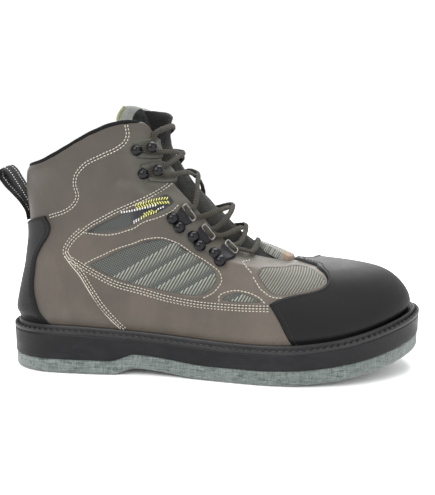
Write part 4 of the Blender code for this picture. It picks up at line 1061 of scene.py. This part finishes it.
# Each overlay is edge stitched this many rows and columns inside its border
INSIDE = 5
edge_lines, edge_lifts = [], []
for name, node, points, away in (cap, backstay):
    sheet = new_piece(name, points, grid_faces(*away.shape), coated, values={"border": away})
    fixed(sheet, "overlay_rubber", node)
    lift = unit(np.cross(np.gradient(points, axis=1), np.gradient(points, axis=0)))
    row, last = len(points) - INSIDE, points.shape[1] - INSIDE - 1
    for grid, found in ((points, edge_lines), (lift, edge_lifts)):
        legs = grid[2 : row + 1, INSIDE], grid[row, INSIDE + 1 : last], grid[row:1:-1, last]
        found.append(np.concatenate(legs))
sizes = {"pitch": 0.0028, "space": 0.32, "radius": 0.00034, "sink": 0.3}
thread = stitches("overlay_stitches", edge_lines, edge_lifts, waxed, **sizes)
fixed(thread, "overlay_rubber")


# ---- Collar binding ----
# Black knitted piping round the collar's rim, stitched on before the lining is turned in. It
# tapers off short of the throat's corners.
PIPING_ENDS, PIPING_STEPS, PIPING_SIDES, PIPING_RISE = (0.100, 0.900), 260, 20, 0.0024
KNIT_DARK, KNIT_PALE = (0.0025, 0.0025, 0.0027), (0.0088, 0.0088, 0.009)
piping = grained("black_piping", 1500.0, KNIT_DARK, KNIT_PALE, 0.0004, roughness=0.85, specular=0.1)
turn = np.linspace(*PIPING_ENDS, PIPING_STEPS)
rim_out = upper_point(turn, 1.0)[0]
rim_in = upper_point(turn, 1.0, -padding(1.0), relief=False)[0]
angle = np.linspace(0.0, 2.0 * math.pi, PIPING_SIDES + 1)[:-1]
middle = ((rim_in + rim_out) / 2.0)[:, None]
roll = middle - (rim_in - rim_out)[:, None] * 0.5 * 1.04 * np.cos(angle)[None, :, None]
height = np.sign(np.sin(angle)) * np.abs(np.sin(angle)) ** 0.7
roll[..., 2] += 0.0003 + PIPING_RISE * height + wobble(roll, 0.0002, 0.02)
ends = np.sqrt(np.clip(1.0 - np.abs(np.linspace(-1.0, 1.0, PIPING_STEPS)) ** 60, 0.0, 1.0))[:, None, None]
roll = middle + (roll - middle) * ends
quads = grid_faces(PIPING_STEPS, PIPING_SIDES, False, True)
fixed(new_piece("collar_piping", roll, quads, piping), "webbing", "collar_binding")


# ---- Tongue ----
# Foam between a ribbed olive cloth and a pale spacer mesh, with a charcoal padded top and a
# yellow-green bound wing on the medial side. It is sewn in under the toe of the throat.
# Columns: level; half widths to the lateral and the medial side as turns
TONGUE = (
    (0.480, 0.055, 0.055), (0.600, 0.115, 0.115), (0.700, 0.130, 0.130), (0.850, 0.130, 0.145),
    (1.000, 0.118, 0.195), (1.060, 0.105, 0.214), (1.120, 0.085, 0.232),
)
TONGUE_FOOT, TONGUE_TOP, TONGUE_RISE, WING_RISE, TONGUE_WALL = 0.480, 1.120, 0.0160, 0.0035, 0.0032
TONGUE_ROWS, TONGUE_COLUMNS, TONGUE_CLEARANCE, WING_FROM = 120, 90, 0.0015, 62


def beyond(turn, level):
    """The upper's face carried on straight above the collar, with its outward direction."""
    turn, level = np.broadcast_arrays(np.asarray(turn, float), np.asarray(level, float))
    over = np.clip(level - 1.0, 0.0, 1.0) / (TONGUE_TOP - 1.0)
    lean = unit(upper_surface(turn, 1.0) - upper_surface(turn, 0.97))
    low = np.minimum(level, 1.0)
    climb = over * (TONGUE_RISE + WING_RISE * smooth(0.09, 0.21, turn))
    return upper_surface(turn, low) + lean * climb[..., None], upper_normal(turn, low)


tongue_cloth, at = new_finish("tongue_cloth", roughness=0.88, sheen=0.06, specular=0.15)
z = at.parts()[2]
height_at, across_at, face_at = map(at.kept, ("height", "across", "face"))
rib, pick = across_at.waves(0.0016), z.waves(0.0011)
slub = at.noise(700.0, 3.0)
# The front's dark tones are partly the olive cloth's own and partly painted shade where the tongue lies in
# the throat
front = (rib * 0.6 + pick * 0.25 + slub * 0.3).ramp(0.25, 0.85)
front = front.blend((0.0066, 0.0067, 0.0058), (0.0301, 0.0301, 0.0256))
top = slub.ramp(0.3, 0.7).blend((0.0027, 0.0028, 0.0032), (0.0075, 0.0076, 0.0081))
net_one, net_two = (
    (line * (2.0 * math.pi / 0.0017)).maths("SINE") for line in (z + across_at, z - across_at)
)
back = (net_one * net_two).ramp(-0.3, 0.5).ramp(0.0, 1.0)
back = back.blend((0.112, 0.12, 0.112), (0.368, 0.376, 0.352))
tone = height_at.ramp(0.935, 0.955).blend(front, top)
tone = face_at.ramp(0.1, -0.1).blend(tone, back)
dress(tongue_cloth, tone, height=rib * 0.5 + pick * 0.3 + slub * 0.4, depth=0.0007)

level = np.linspace(TONGUE_FOOT, TONGUE_TOP, TONGUE_ROWS)[:, None]
share = np.linspace(-1.0, 1.0, TONGUE_COLUMNS)
corner = np.sqrt(np.clip(1.0 - smooth(1.02, TONGUE_TOP + 0.02, level) ** 2 * 0.5, 0.0, 1.0))
turn = np.where(share < 0.0, through(TONGUE, 1, level), through(TONGUE, 2, level)) * share * corner
rise = np.broadcast_to(level, turn.shape)
deep = padding(rise) + TONGUE_CLEARANCE
opening = through(THROAT, 1, np.clip(rise, 0.53, 1.0)) * 0.8
swell = np.clip(1.0 - (turn / opening) ** 2, 0.0, 1.0)
swell = swell * (0.0050 * smooth(0.55, 0.65, rise) + 0.0085 * smooth(0.93, 1.06, rise))
plump = 0.0022 * smooth(0.97, 1.04, rise) * (1.0 - share**2)
up = (level - TONGUE_FOOT) / (TONGUE_TOP - TONGUE_FOOT)
roll_off = (1.0 - np.abs(share) ** 14) ** 0.5 * (1.0 - up**50) ** 0.5
face, normal = beyond(turn, rise)
face[..., 2] -= 0.0060 * (1.0 - smooth(0.0, 0.09, np.abs(turn))) * smooth(1.0, TONGUE_TOP, rise)
mid = (-deep + swell - deep - TONGUE_WALL) / 2.0
half = (swell + TONGUE_WALL) / 2.0
outer = face + normal * (mid + (half + wobble(face, 0.0004, 0.017)) * roll_off)[..., None]
inner = face + normal * (mid - (half + plump) * roll_off)[..., None]
over = np.linalg.norm(np.diff(face, axis=1), axis=-1)
over = np.cumsum(np.concatenate([np.zeros((TONGUE_ROWS, 1)), over], axis=1), axis=1)
values = {
    "height": np.concatenate([rise, rise[:, ::-1]], axis=1),
    "across": np.concatenate([over, over[:, ::-1]], axis=1),
    "face": np.concatenate([np.ones_like(turn), -np.ones_like(turn)], axis=1),
}
loops = np.concatenate([outer, inner[:, ::-1]], axis=1)
quads = grid_faces(TONGUE_ROWS, 2 * TONGUE_COLUMNS, False, True)
tongue = new_piece("boot_tongue", loops, quads, tongue_cloth, values=values)
fixed(tongue, "tongue_cloth", "tongue")

BOUND_DARK, BOUND_PALE, BOUND_RADIUS, BOUND_SIDES = (0.11, 0.13, 0.06), (0.26, 0.28, 0.15), 0.0019, 10
bound = grained("bound_edge", 1400.0, BOUND_DARK, BOUND_PALE, 0.0004, roughness=0.8, sheen=0.2)
edge, lift = ((outer + inner) / 2.0)[WING_FROM:-1, -1], normal[WING_FROM:-1, -1]
quads = grid_faces(len(edge), BOUND_SIDES, False, True)
trim = new_piece("tongue_edge", tube(edge, BOUND_RADIUS, BOUND_SIDES, lift), quads, bound)
fixed(trim, "tongue_cloth")


# ---- Footbed ----
# A die-cut foam footbed covered in dark knitted cloth. It lies loose on the sole, inside the
# upper.
BED_BOTTOM, BED_TOP, BED_ROUNDING, BED_INSET = -0.0050, 0.0035, 0.0015, WELT_WIDTH + CLEARANCE
bed_cloth, at = new_finish("footbed_cloth", roughness=0.92, sheen=0.3)
knit = at.stretched(1.0, 1.8, 1.0).noise(900.0)
tone = knit.ramp(0.3, 0.7).blend((0.012, 0.0126, 0.0132), (0.042, 0.0432, 0.0444))
tone = (at.noise(18.0, 3.0).ramp(0.5, 0.7) * 0.4).blend(tone, (0.06, 0.057, 0.051))
dress(bed_cloth, tone, height=knit, depth=0.0006)
arc = np.linspace(0.0, math.pi / 2.0, 5)[:, None]
inset = np.concatenate([[[BED_INSET], [BED_INSET]], BED_INSET + BED_ROUNDING * (1.0 - np.cos(arc))])
rise = np.concatenate([[[BED_BOTTOM], [0.0]], BED_TOP - BED_ROUNDING * (1.0 - np.sin(arc))])
footbed = capped("foot_bed", sole_point(around[::4], inset, rise, seat), bed_cloth, (0.12, 0.0, 0.036))
fixed(footbed, "footbed", "insole")


# ---- Ring plates ----
# Three black folded plates a side, each held by two domed studs, with a bright wire ring in the
# fold at the throat's edge.


def frame_at(turn, level, out):
    """A point over the upper with its directions across, up and outwards."""
    normal = upper_normal(turn, level)
    up = upper_surface(turn, level + 0.01) - upper_surface(turn, level - 0.01)
    up = unit(up - normal * float(up @ normal))
    return upper_surface(turn, level) + normal * out, np.cross(up, normal), up, normal


def turned(frame, profile, count=20):
    """A turned solid's points and quads from radii and heights over a place on the upper."""
    point, across, up, normal = frame
    angle = 2.0 * math.pi * np.arange(count)[:, None] / count
    ring = np.cos(angle) * across + np.sin(angle) * up
    rows = np.stack([point + normal * height + radius * ring for radius, height in profile])
    lid, base = across_faces((len(profile) - 1) * count, count), across_faces(0, count)[:, ::-1]
    return rows, np.concatenate([grid_faces(len(profile), count, False, True), lid, base])


def dome(radius, height, rim=0.0006, steps=7):
    """Radii and heights of a dome on a thin rolled rim."""
    angle = np.linspace(0.12, math.pi / 2.0, steps)[:-1]
    rows = [(radius * 0.96, 0.0), (radius, rim * 0.5), (radius * 0.97, rim)]
    rows += [(radius * 0.90 * math.cos(a), rim + (height - rim) * math.sin(a)) for a in angle]
    return rows + [(radius * 0.10, height)]


plate_finish, at = new_finish("plate_black", roughness=0.38, specular=0.14)
mould = at.noise(900.0)
chafe = at.stretched(1.0, 1.0, 0.4).noise(420.0, 3.0, 0.7)
tone = mould.ramp(0.3, 0.7).blend((0.0048, 0.0048, 0.006), (0.012, 0.012, 0.0138))
tone = (chafe.ramp(0.62, 0.8) * 0.4).blend(tone, (0.045, 0.045, 0.048))
dress(plate_finish, tone, roughness=0.30 + mould * 0.2, height=mould, depth=0.0002)
gloss_black, at = new_finish("stud_black", roughness=0.2, specular=0.22)
speck = at.noise(1600.0, 2.0, 0.5)
rubbed = at.noise(380.0, 3.0, 0.7)
tone = (rubbed.ramp(0.62, 0.78) * 0.5).blend((0.0033, 0.0033, 0.0045), (0.03, 0.03, 0.033))
dress(gloss_black, tone, roughness=0.12 + speck * 0.12 + rubbed.ramp(0.6, 0.8) * 0.2)
bright, at = new_finish("bright_wire", roughness=0.22, metallic=1.0)
draw = at.noise(900.0, 3.0, 0.7)
tone = draw.ramp(0.4, 0.75).blend((0.200, 0.196, 0.188), (0.062, 0.061, 0.057))
dress(bright, tone, roughness=0.18 + draw * 0.2)
# Columns: turns back from the front and levels of the upper and lower stud, then of the ring's
# upper and lower end
RING_PLATES = (
    (0.151, 0.722, 0.152, 0.692, 0.110, 0.762, 0.113, 0.728),
    (0.144, 0.658, 0.156, 0.606, 0.106, 0.702, 0.111, 0.664),
    (0.156, 0.556, 0.182, 0.470, 0.098, 0.640, 0.109, 0.592),
)
PLATE_RUN, PLATE_OVER, PLATE_ROWS, PLATE_COLUMNS = (-0.25, 0.88), (-0.24, 1.20), 34, 30
PLATE_TOP, STUD_LIFT, STUD_RADIUS, STUD_HEIGHT = 0.0019, 0.0006, 0.0046, 0.0036
RING_WIRE, RING_SIDES, RING_BACK, RING_FRONT = 0.00070, 10, 0.0020, 0.0018
RING_CORNER, RING_LOW, RING_HIGH, RING_STRETCH = 0.0018, 0.0002, 0.0019, 0.14
SHEET_BASE = -0.0002


def rounded_loop(corners, radius, count):
    """A closed line through corners, each rounded by a parabola over this radius."""
    bend = np.linspace(0.0, 1.0, count)[:, None]
    path = []
    for k, here in enumerate(corners):
        into = here + unit(corners[k - 1] - here) * radius
        away = here + unit(corners[(k + 1) % len(corners)] - here) * radius
        path.append(into * (1 - bend) ** 2 + here * 2 * bend * (1 - bend) + away * bend**2)
    return np.concatenate(path)


# The plate narrows from its studs to a waist, widens at the ring and folds over its back bar
run = np.linspace(*PLATE_RUN, PLATE_ROWS)[:, None]
over = np.linspace(*PLATE_OVER, PLATE_COLUMNS)
over = 0.48 + (over - 0.48) * (1.0 - 0.12 * bell(run, 0.42, 0.22) - 0.10 * smooth(0.0, -0.25, run))
plate_run, plate_over, plate_fold = run[..., None], over[..., None], 0.0011 * bell(run, 0.80, 0.09)
for number, row in enumerate(RING_PLATES, 1):
    for side, word in SIDES:
        stud_a, stud_b, ring_a, ring_b = np.array(row).reshape(4, 2) * (side, 1.0)
        far, near = stud_a + (stud_b - stud_a) * plate_over, ring_a + (ring_b - ring_a) * plate_over
        turn, level = np.moveaxis(far + (near - far) * plate_run, -1, 0)
        plate = sheet_over(turn, level, SHEET_BASE, PLATE_TOP, 0.0008, plate_fold)[0]
        quads = grid_faces(PLATE_ROWS, PLATE_COLUMNS)[:, :: int(side)]
        piece = new_piece(f"plate_{number}_{word}", plate, quads, plate_finish)
        fixed(piece, "plate", f"ring_plate_{number}_{word}")
        for letter, place in (("a", stud_a), ("b", stud_b)):
            parts = [turned(frame_at(*place, PLATE_TOP + STUD_LIFT), dome(STUD_RADIUS, STUD_HEIGHT))]
            stud = gathered(f"stud_{number}_{word}_{letter}", parts, gloss_black)
            fixed(stud, "black_steel", f"ring_stud_{number}_{word}_{letter}")
        # A rounded oblong: back bar in the plate's fold, front bar a little proud of the throat
        (a, across, _, out_a), (b, _, _, out_b) = (frame_at(*end, PLATE_TOP) for end in (ring_a, ring_b))
        inward = across * -side
        back, front = -inward * RING_BACK, inward * RING_FRONT
        low_a, low_b, high_a, high_b = (
            out * lift for lift in (RING_LOW, RING_HIGH) for out in (out_a, out_b)
        )
        corners = np.array([a + low_a + back, b + low_b + back, b + high_b + front, a + high_a + front])
        corners += np.outer((-1.0, 1.0, 1.0, -1.0), (corners[1] - corners[0]) * RING_STRETCH)
        path = rounded_loop(corners, RING_CORNER, 10)
        wire = tube(path, RING_WIRE, RING_SIDES, out_a, closed=True)
        quads = grid_faces(len(path), RING_SIDES, True, True)
        ring = new_piece(f"wire_ring_{number}_{word}", wire, quads, bright)
        fixed(ring, "steel_wire", f"lace_ring_{number}_{word}")


# ---- Lace hooks ----
# Two gloss black steel hooks a side: a riveted foot plate and a round knob that overhangs its
# post, so that the lace drops in behind it. Each stands on a rounded green-grey leather tab.
# Columns: turn and level of the rivet, then of the hook's knob
HOOKS = (
    (0.144, 0.858, 0.114, 0.862), (0.135, 0.922, 0.103, 0.926),
)
HOOK_RUN, HOOK_HALF, HOOK_TOP, HOOK_ROWS, HOOK_COLUMNS = (-0.20, 1.10), 0.013, 0.0028, 36, 20
TAB_TURNS, TAB_HALF, TAB_THICK, TAB_ROWS, TAB_COLUMNS = (0.139, 0.062), 0.029, 0.0018, 60, 34
# Columns: the knob's radius and its height over the foot plate
KNOB_PROFILE = (
    (0.0026, 0.0000), (0.0020, 0.0008), (0.0019, 0.0030), (0.0024, 0.0038), (0.0038, 0.0041),
    (0.0043, 0.0046), (0.0042, 0.0055), (0.0036, 0.0065), (0.0026, 0.0073), (0.0013, 0.0078),
    (0.0004, 0.0079),
)
tab_leather, at = new_finish("tab_leather", roughness=0.6, sheen=0.08, specular=0.35)
tone = at.noise(70.0, 3.0).ramp(0.3, 0.7).blend((0.034, 0.034, 0.027), (0.054, 0.053, 0.042))
# Painted shade along the tab's border
tone = (at.kept("border").ramp(0.0013, 0.0002) * 0.7).blend(tone, (0.012, 0.011, 0.009))
dress(tab_leather, tone, height=at.noise(1700.0), depth=0.0004)
run = np.linspace(0.0, 1.0, TAB_ROWS)[:, None]
over = np.linspace(-1.0, 1.0, TAB_COLUMNS)
wide = TAB_HALF * (1.0 - smooth(0.55, 1.04, run) ** 2.2) ** 0.5 * (0.82 + 0.18 * smooth(0.0, 0.5, run))
dip = -0.0022 * smooth(0.72, 1.0, run)
for number, row in enumerate(HOOKS, 4):
    for side, word in SIDES:
        turn = side * (TAB_TURNS[0] + (TAB_TURNS[1] - TAB_TURNS[0]) * run + 0.0 * over)
        level = (row[1] + row[3]) / 2.0 + wide * over + 0.004 * run
        sheet, away = sheet_over(turn, level, -0.0004, TAB_THICK, 0.0014, dip)
        quads = grid_faces(TAB_ROWS, TAB_COLUMNS)[:, :: -int(side)]
        values = {"border": away}
        fixed(new_piece(f"hook_tab_{number}_{word}", sheet, quads, tab_leather, values=values), "leather")

run = np.linspace(*HOOK_RUN, HOOK_ROWS)[:, None]
over = np.linspace(-1.0, 1.0, HOOK_COLUMNS)
wide = HOOK_HALF * (1.0 - 0.22 * bell(run, 0.5, 0.2)) * (1.0 - np.abs((run - 0.45) / 0.65) ** 6 * 0.55)
for number, row in enumerate(HOOKS, 4):
    for side, word in SIDES:
        rivet, knob = np.array(row).reshape(2, 2) * (side, 1.0)
        turn = rivet[0] + (knob[0] - rivet[0]) * run + 0.0 * over
        level = rivet[1] + (knob[1] - rivet[1]) * run + wide * over
        foot = sheet_over(turn, level, SHEET_BASE, HOOK_TOP, 0.0007)[0]
        parts = [
            (foot, grid_faces(HOOK_ROWS, HOOK_COLUMNS)[:, :: -int(side)]),
            turned(frame_at(*rivet, HOOK_TOP - 0.0003), dome(STUD_RADIUS * 0.92, STUD_HEIGHT)),
            turned(frame_at(*knob, HOOK_TOP - 0.0003), KNOB_PROFILE),
        ]
        hook = gathered(f"lace_hook_{number}_{word}", parts, gloss_black)
        fixed(hook, "black_steel", f"hook_{number}_{word}")


# ---- Lace ----
# One flat-oval woven lace, olive and grey-brown, run from the top hook round every ring and hook
# and across the foot of the throat. Both ends stop under the top hook of the lateral side.
LACE_HALF_WIDTH, LACE_FLAT, LACE_STEPS, LACE_SIDES = 0.0021, 0.60, 1500, 14
FOOT_DROP, TOP_RISE, OVER_LIFT, UNDER_LIFT = 0.032, 0.044, 0.0022, -0.0012
RING_PASS, HOOK_PASS, PASS_RISE, LACE_END = 0.016, 0.022, 0.012, 0.0028
# How far each pass stands out at its middle, and how far its middle rises as a level, because the
# lace runs straight across: the foot, the four crossings, the top
STANDS = (0.0030, 0.0042, 0.0075, 0.0026, 0.0020, 0.0030)
RISES = (0.060, 0.042, 0.030, 0.040, 0.012, 0.022)
woven, sheet = new_finish("woven_lace", roughness=0.88, sheen=0.08, specular=0.2, reads="UV")
u, v, _ = sheet.parts()
plait = (v + abs((u * 2.0).maths("FRACT") - 0.5) * 0.0022).waves(0.0015)
lengthwise = u.waves(0.1)
fuzz = sheet.stretched(60.0, 9000.0, 1.0).noise(0.25, 3.0)
tone = (plait * 0.75 + lengthwise * 0.25).ramp(0.15, 0.85)
tone = tone.blend((0.0071, 0.0063, 0.004), (0.0414, 0.0372, 0.0245))
tone = (fuzz.ramp(0.5, 0.75) * 0.3).blend(tone, (0.0616, 0.0564, 0.0386))
dress(woven, tone, height=plait * 0.8 + lengthwise * 0.4 + fuzz * 0.2, depth=0.0006)

# Where the lace goes round each ring and hook, from the foot up: turn inside it, level, turn outside
rings = [((row[4] + row[6]) / 2.0, (row[5] + row[7]) / 2.0) for row in reversed(RING_PLATES)]
stops = [(turn - RING_PASS, level, turn + 0.004) for turn, level in rings]
stops += [(row[2] - HOOK_PASS, row[3], row[2] + 0.016) for row in HOOKS]


def over_tongue(places, out):
    """Points over the tongue and the upper at turns and levels, this far out."""
    point, normal = beyond(*places.T)
    return point + normal * out[:, None], normal


def lace_pass(start, end, number, lift=0.0, count=26):
    """A pass between two places: it climbs from its ends to its stand, and over the other pass."""
    step = np.linspace(0.0, 1.0, count)
    places = np.array(start) + (np.array(end) - np.array(start)) * step[:, None]
    places[:, 1] += RISES[number] * np.sin(math.pi * step)
    hump = np.sin(math.pi * step) ** 0.7
    return over_tongue(places, LACE_END + (STANDS[number] - LACE_END) * hump + lift * bell(step, 0.5, 0.10))


def lace_turn(stop, side, upwards, count=12):
    """The bend round a ring's bar or a hook's post, from below it to above or back."""
    inner, level, outer = stop
    angle = np.linspace(-math.pi / 2.0, math.pi / 2.0, count + 2)[1:-1] * (1.0 if upwards else -1.0)
    turn = side * (inner + (outer - inner) * np.cos(angle))
    places = np.stack([turn, level + PASS_RISE * 1.1 * np.sin(angle)], axis=-1)
    return over_tongue(places, LACE_END + 0.0006 * np.cos(angle))


def crossing(k, side, down):
    """The pass between stops k and k + 1, from this side: one leg goes over, the other under."""
    low, high = stops[k], stops[k + 1]
    sign = -side if down else side
    foot, head = (sign * low[0], low[1] + PASS_RISE), (-sign * high[0], high[1] - PASS_RISE)
    lift = OVER_LIFT if (side > 0.0) == down else UNDER_LIFT
    return lace_pass(head, foot, k + 1, lift) if down else lace_pass(foot, head, k + 1, lift)


top_turn, top_level = stops[-1][0], stops[-1][1] + TOP_RISE
foot_turn, foot_level = stops[0][0], stops[0][1] - FOOT_DROP
route = [
    lace_turn(stops[-1], -1.0, True),
    lace_pass((-top_turn, top_level), (top_turn, top_level), -1),
    lace_turn(stops[-1], 1.0, False),
]
side = 1.0
for k in range(len(stops) - 2, -1, -1):
    route += [crossing(k, side, True), lace_turn(stops[k], -side, False)]
    side = -side
route.append(lace_pass((side * foot_turn, foot_level), (-side * foot_turn, foot_level), 0))
side = -side
for k in range(len(stops) - 1):
    route += [lace_turn(stops[k], side, True), crossing(k, side, False)]
    side = -side
route.append(lace_turn(stops[-1], side, True))
knots, outs = (np.concatenate(rows) for rows in zip(*route))
run = run_of(knots)
even = np.linspace(0.0, run[-1], LACE_STEPS)
blur = np.hanning(15)
blur /= blur.sum()


def eased(rows):
    """Rows averaged with their neighbours under a bell curve, the ends kept."""
    longer = np.concatenate([np.repeat(rows[:1], 7, 0), rows, np.repeat(rows[-1:], 7, 0)])
    return np.stack([np.convolve(longer[:, k], blur, "valid") for k in range(3)], axis=-1)


lace_path, lace_lift = (eased(eased(between(even, run, rows))) for rows in (knots, outs))
# The width changes a little along it, as a worn lace's does
uneven = 0.06 * np.sin(even * 2.0 * math.pi / 0.031) + 0.05 * np.sin(even * 2.0 * math.pi / 0.0073)
body = tube(lace_path, LACE_HALF_WIDTH * (1.0 + uneven), LACE_SIDES, lace_lift, LACE_FLAT)
body = np.concatenate([body, body[:, :1]], axis=1)
share = np.arange(LACE_SIDES + 1) / LACE_SIDES
uv = np.stack(np.broadcast_arrays(share[None, :], even[:, None]), axis=-1)
lace = new_piece("boot_lace", body, grid_faces(LACE_STEPS, LACE_SIDES + 1), woven, uv=uv)
crossings = [f"lace_cross_{number}" for number in range(1, 5)]
fixed(lace, "lace_cord", "lace_foot", *crossings, "lace_top")


# ---- Pull loop ----
# Black nylon webbing folded into a loop behind the collar, its ends sewn under the heel strip,
# with two dashed white threads woven along it. It stands a little twisted.
LOOP_FOOT, LOOP_WIDTH, LOOP_THICKNESS, LOOP_TWIST = 0.731, 0.018, 0.0018, 0.26
# Columns: metres behind the seam and above the foot
LOOP_LINE = (
    (0.0016, 0.0000), (0.0026, 0.0065), (0.0062, 0.0140), (0.0125, 0.0225), (0.0190, 0.0300),
    (0.0225, 0.0360), (0.0226, 0.0398), (0.0202, 0.0415), (0.0175, 0.0398), (0.0125, 0.0325),
    (0.0068, 0.0230), (0.0018, 0.0130),
)
LOOP_STEPS, LOOP_SIDES, LOOP_SKEW, DASH_SHIFT = 140, 28, np.array([0.64, 0.0, 0.77]) * 0.9, 0.0042
webbing, sheet = new_finish("black_webbing", roughness=0.8, sheen=0.05, specular=0.15, reads="UV")
u, v, _ = sheet.parts()
pick, warp = v.waves(0.0013), u.waves(0.0011)
tone = (pick * warp).ramp(0.1, 0.7).blend((0.0039, 0.0039, 0.0045), (0.0202, 0.0202, 0.0213))
dress(webbing, tone, height=pick * 0.5 + warp * 0.5, depth=0.0005)
seam_x = float(upper_surface(0.5, HEEL_STRIP[-1][0])[0])
fine = refine(LOOP_LINE, LOOP_STEPS)
line = np.stack([seam_x - fine[:, 0], 0.0 * fine[:, 0], BACK_HEIGHT * LOOP_FOOT + fine[:, 1]], axis=-1)
twist = LOOP_TWIST * smooth(0.004, 0.030, fine[:, 1])[:, None]
side_way = unit(np.cos(twist) * np.array([0.0, 1.0, 0.0]) + np.sin(twist) * LOOP_SKEW)
face_way = unit(np.cross(unit(np.gradient(line, axis=0)), side_way))
angle = 2.0 * math.pi * np.arange(LOOP_SIDES) / LOOP_SIDES
flat_x, flat_y = (
    np.sign(wave) * np.abs(wave) ** power * width / 2.0
    for wave, power, width in ((np.cos(angle), 0.35, LOOP_WIDTH), (np.sin(angle), 0.8, LOOP_THICKNESS))
)
rows = line[:, None] + flat_x[None, :, None] * side_way[:, None] + flat_y[None, :, None] * face_way[:, None]
uv = np.stack(np.broadcast_arrays(flat_x[None, :], run_of(line)[:, None]), axis=-1)
quads = grid_faces(LOOP_STEPS, LOOP_SIDES, False, True)[:, ::-1]
fixed(new_piece("pull_webbing", rows, quads, webbing, uv=uv), "webbing", "pull_loop")
WHITE_DARK, WHITE_PALE = (0.315, 0.315, 0.308), (0.595, 0.595, 0.581)
pale = grained("white_thread", 2200.0, WHITE_DARK, WHITE_PALE, rough=0.5, roughness=0.7)
dashes = [
    ((line + side_way * shift + face_way * face * LOOP_THICKNESS * 0.46)[12:-3], (face_way * face)[12:-3])
    for shift in (-DASH_SHIFT, DASH_SHIFT)
    for face in (-1.0, 1.0)
]
thread = stitches("loop_dashes", *zip(*dashes), pale, pitch=0.0021, space=0.38, radius=0.00042, sink=0.4)
fixed(thread, "webbing")


# ---- Lace keeper ----
# A short pale webbing strip along the ridge at the foot of the throat, sewn down over the tongue
# seam. Its lower end is bound in tan.
KEEPER_LEVELS, KEEPER_HALF, KEEPER_ROWS, KEEPER_COLUMNS = (0.640, 0.540), 0.036, 50, 26
keeper_web, at = new_finish("keeper_webbing", roughness=0.85, sheen=0.2)
x, y, z = at.parts()
weave = (x * 0.85 - z * 0.5).waves(0.0016) * 0.6 + y.waves(0.0016) * 0.4
tone = weave.ramp(0.2, 0.7).blend((0.065, 0.0675, 0.06), (0.21, 0.21, 0.19))
tone = x.ramp(0.1765, 0.1785).blend(tone, (0.18, 0.125, 0.085))
dress(keeper_web, tone, height=weave, depth=0.0007)
level = np.linspace(*KEEPER_LEVELS, KEEPER_ROWS)[:, None]
share = np.linspace(-KEEPER_HALF, KEEPER_HALF, KEEPER_COLUMNS)
turn = share * (0.50 + 0.70 * smooth(*KEEPER_LEVELS, level))
swell = 0.0030 + 0.0016 * np.sin(math.pi * np.linspace(0.0, 1.0, KEEPER_ROWS))[:, None]
strip = sheet_over(turn, level, -0.0015, swell, 0.0012)[0]
keeper = new_piece("keeper_strip", strip, grid_faces(KEEPER_ROWS, KEEPER_COLUMNS), keeper_web)
fixed(keeper, "tongue_cloth", "lace_keeper")
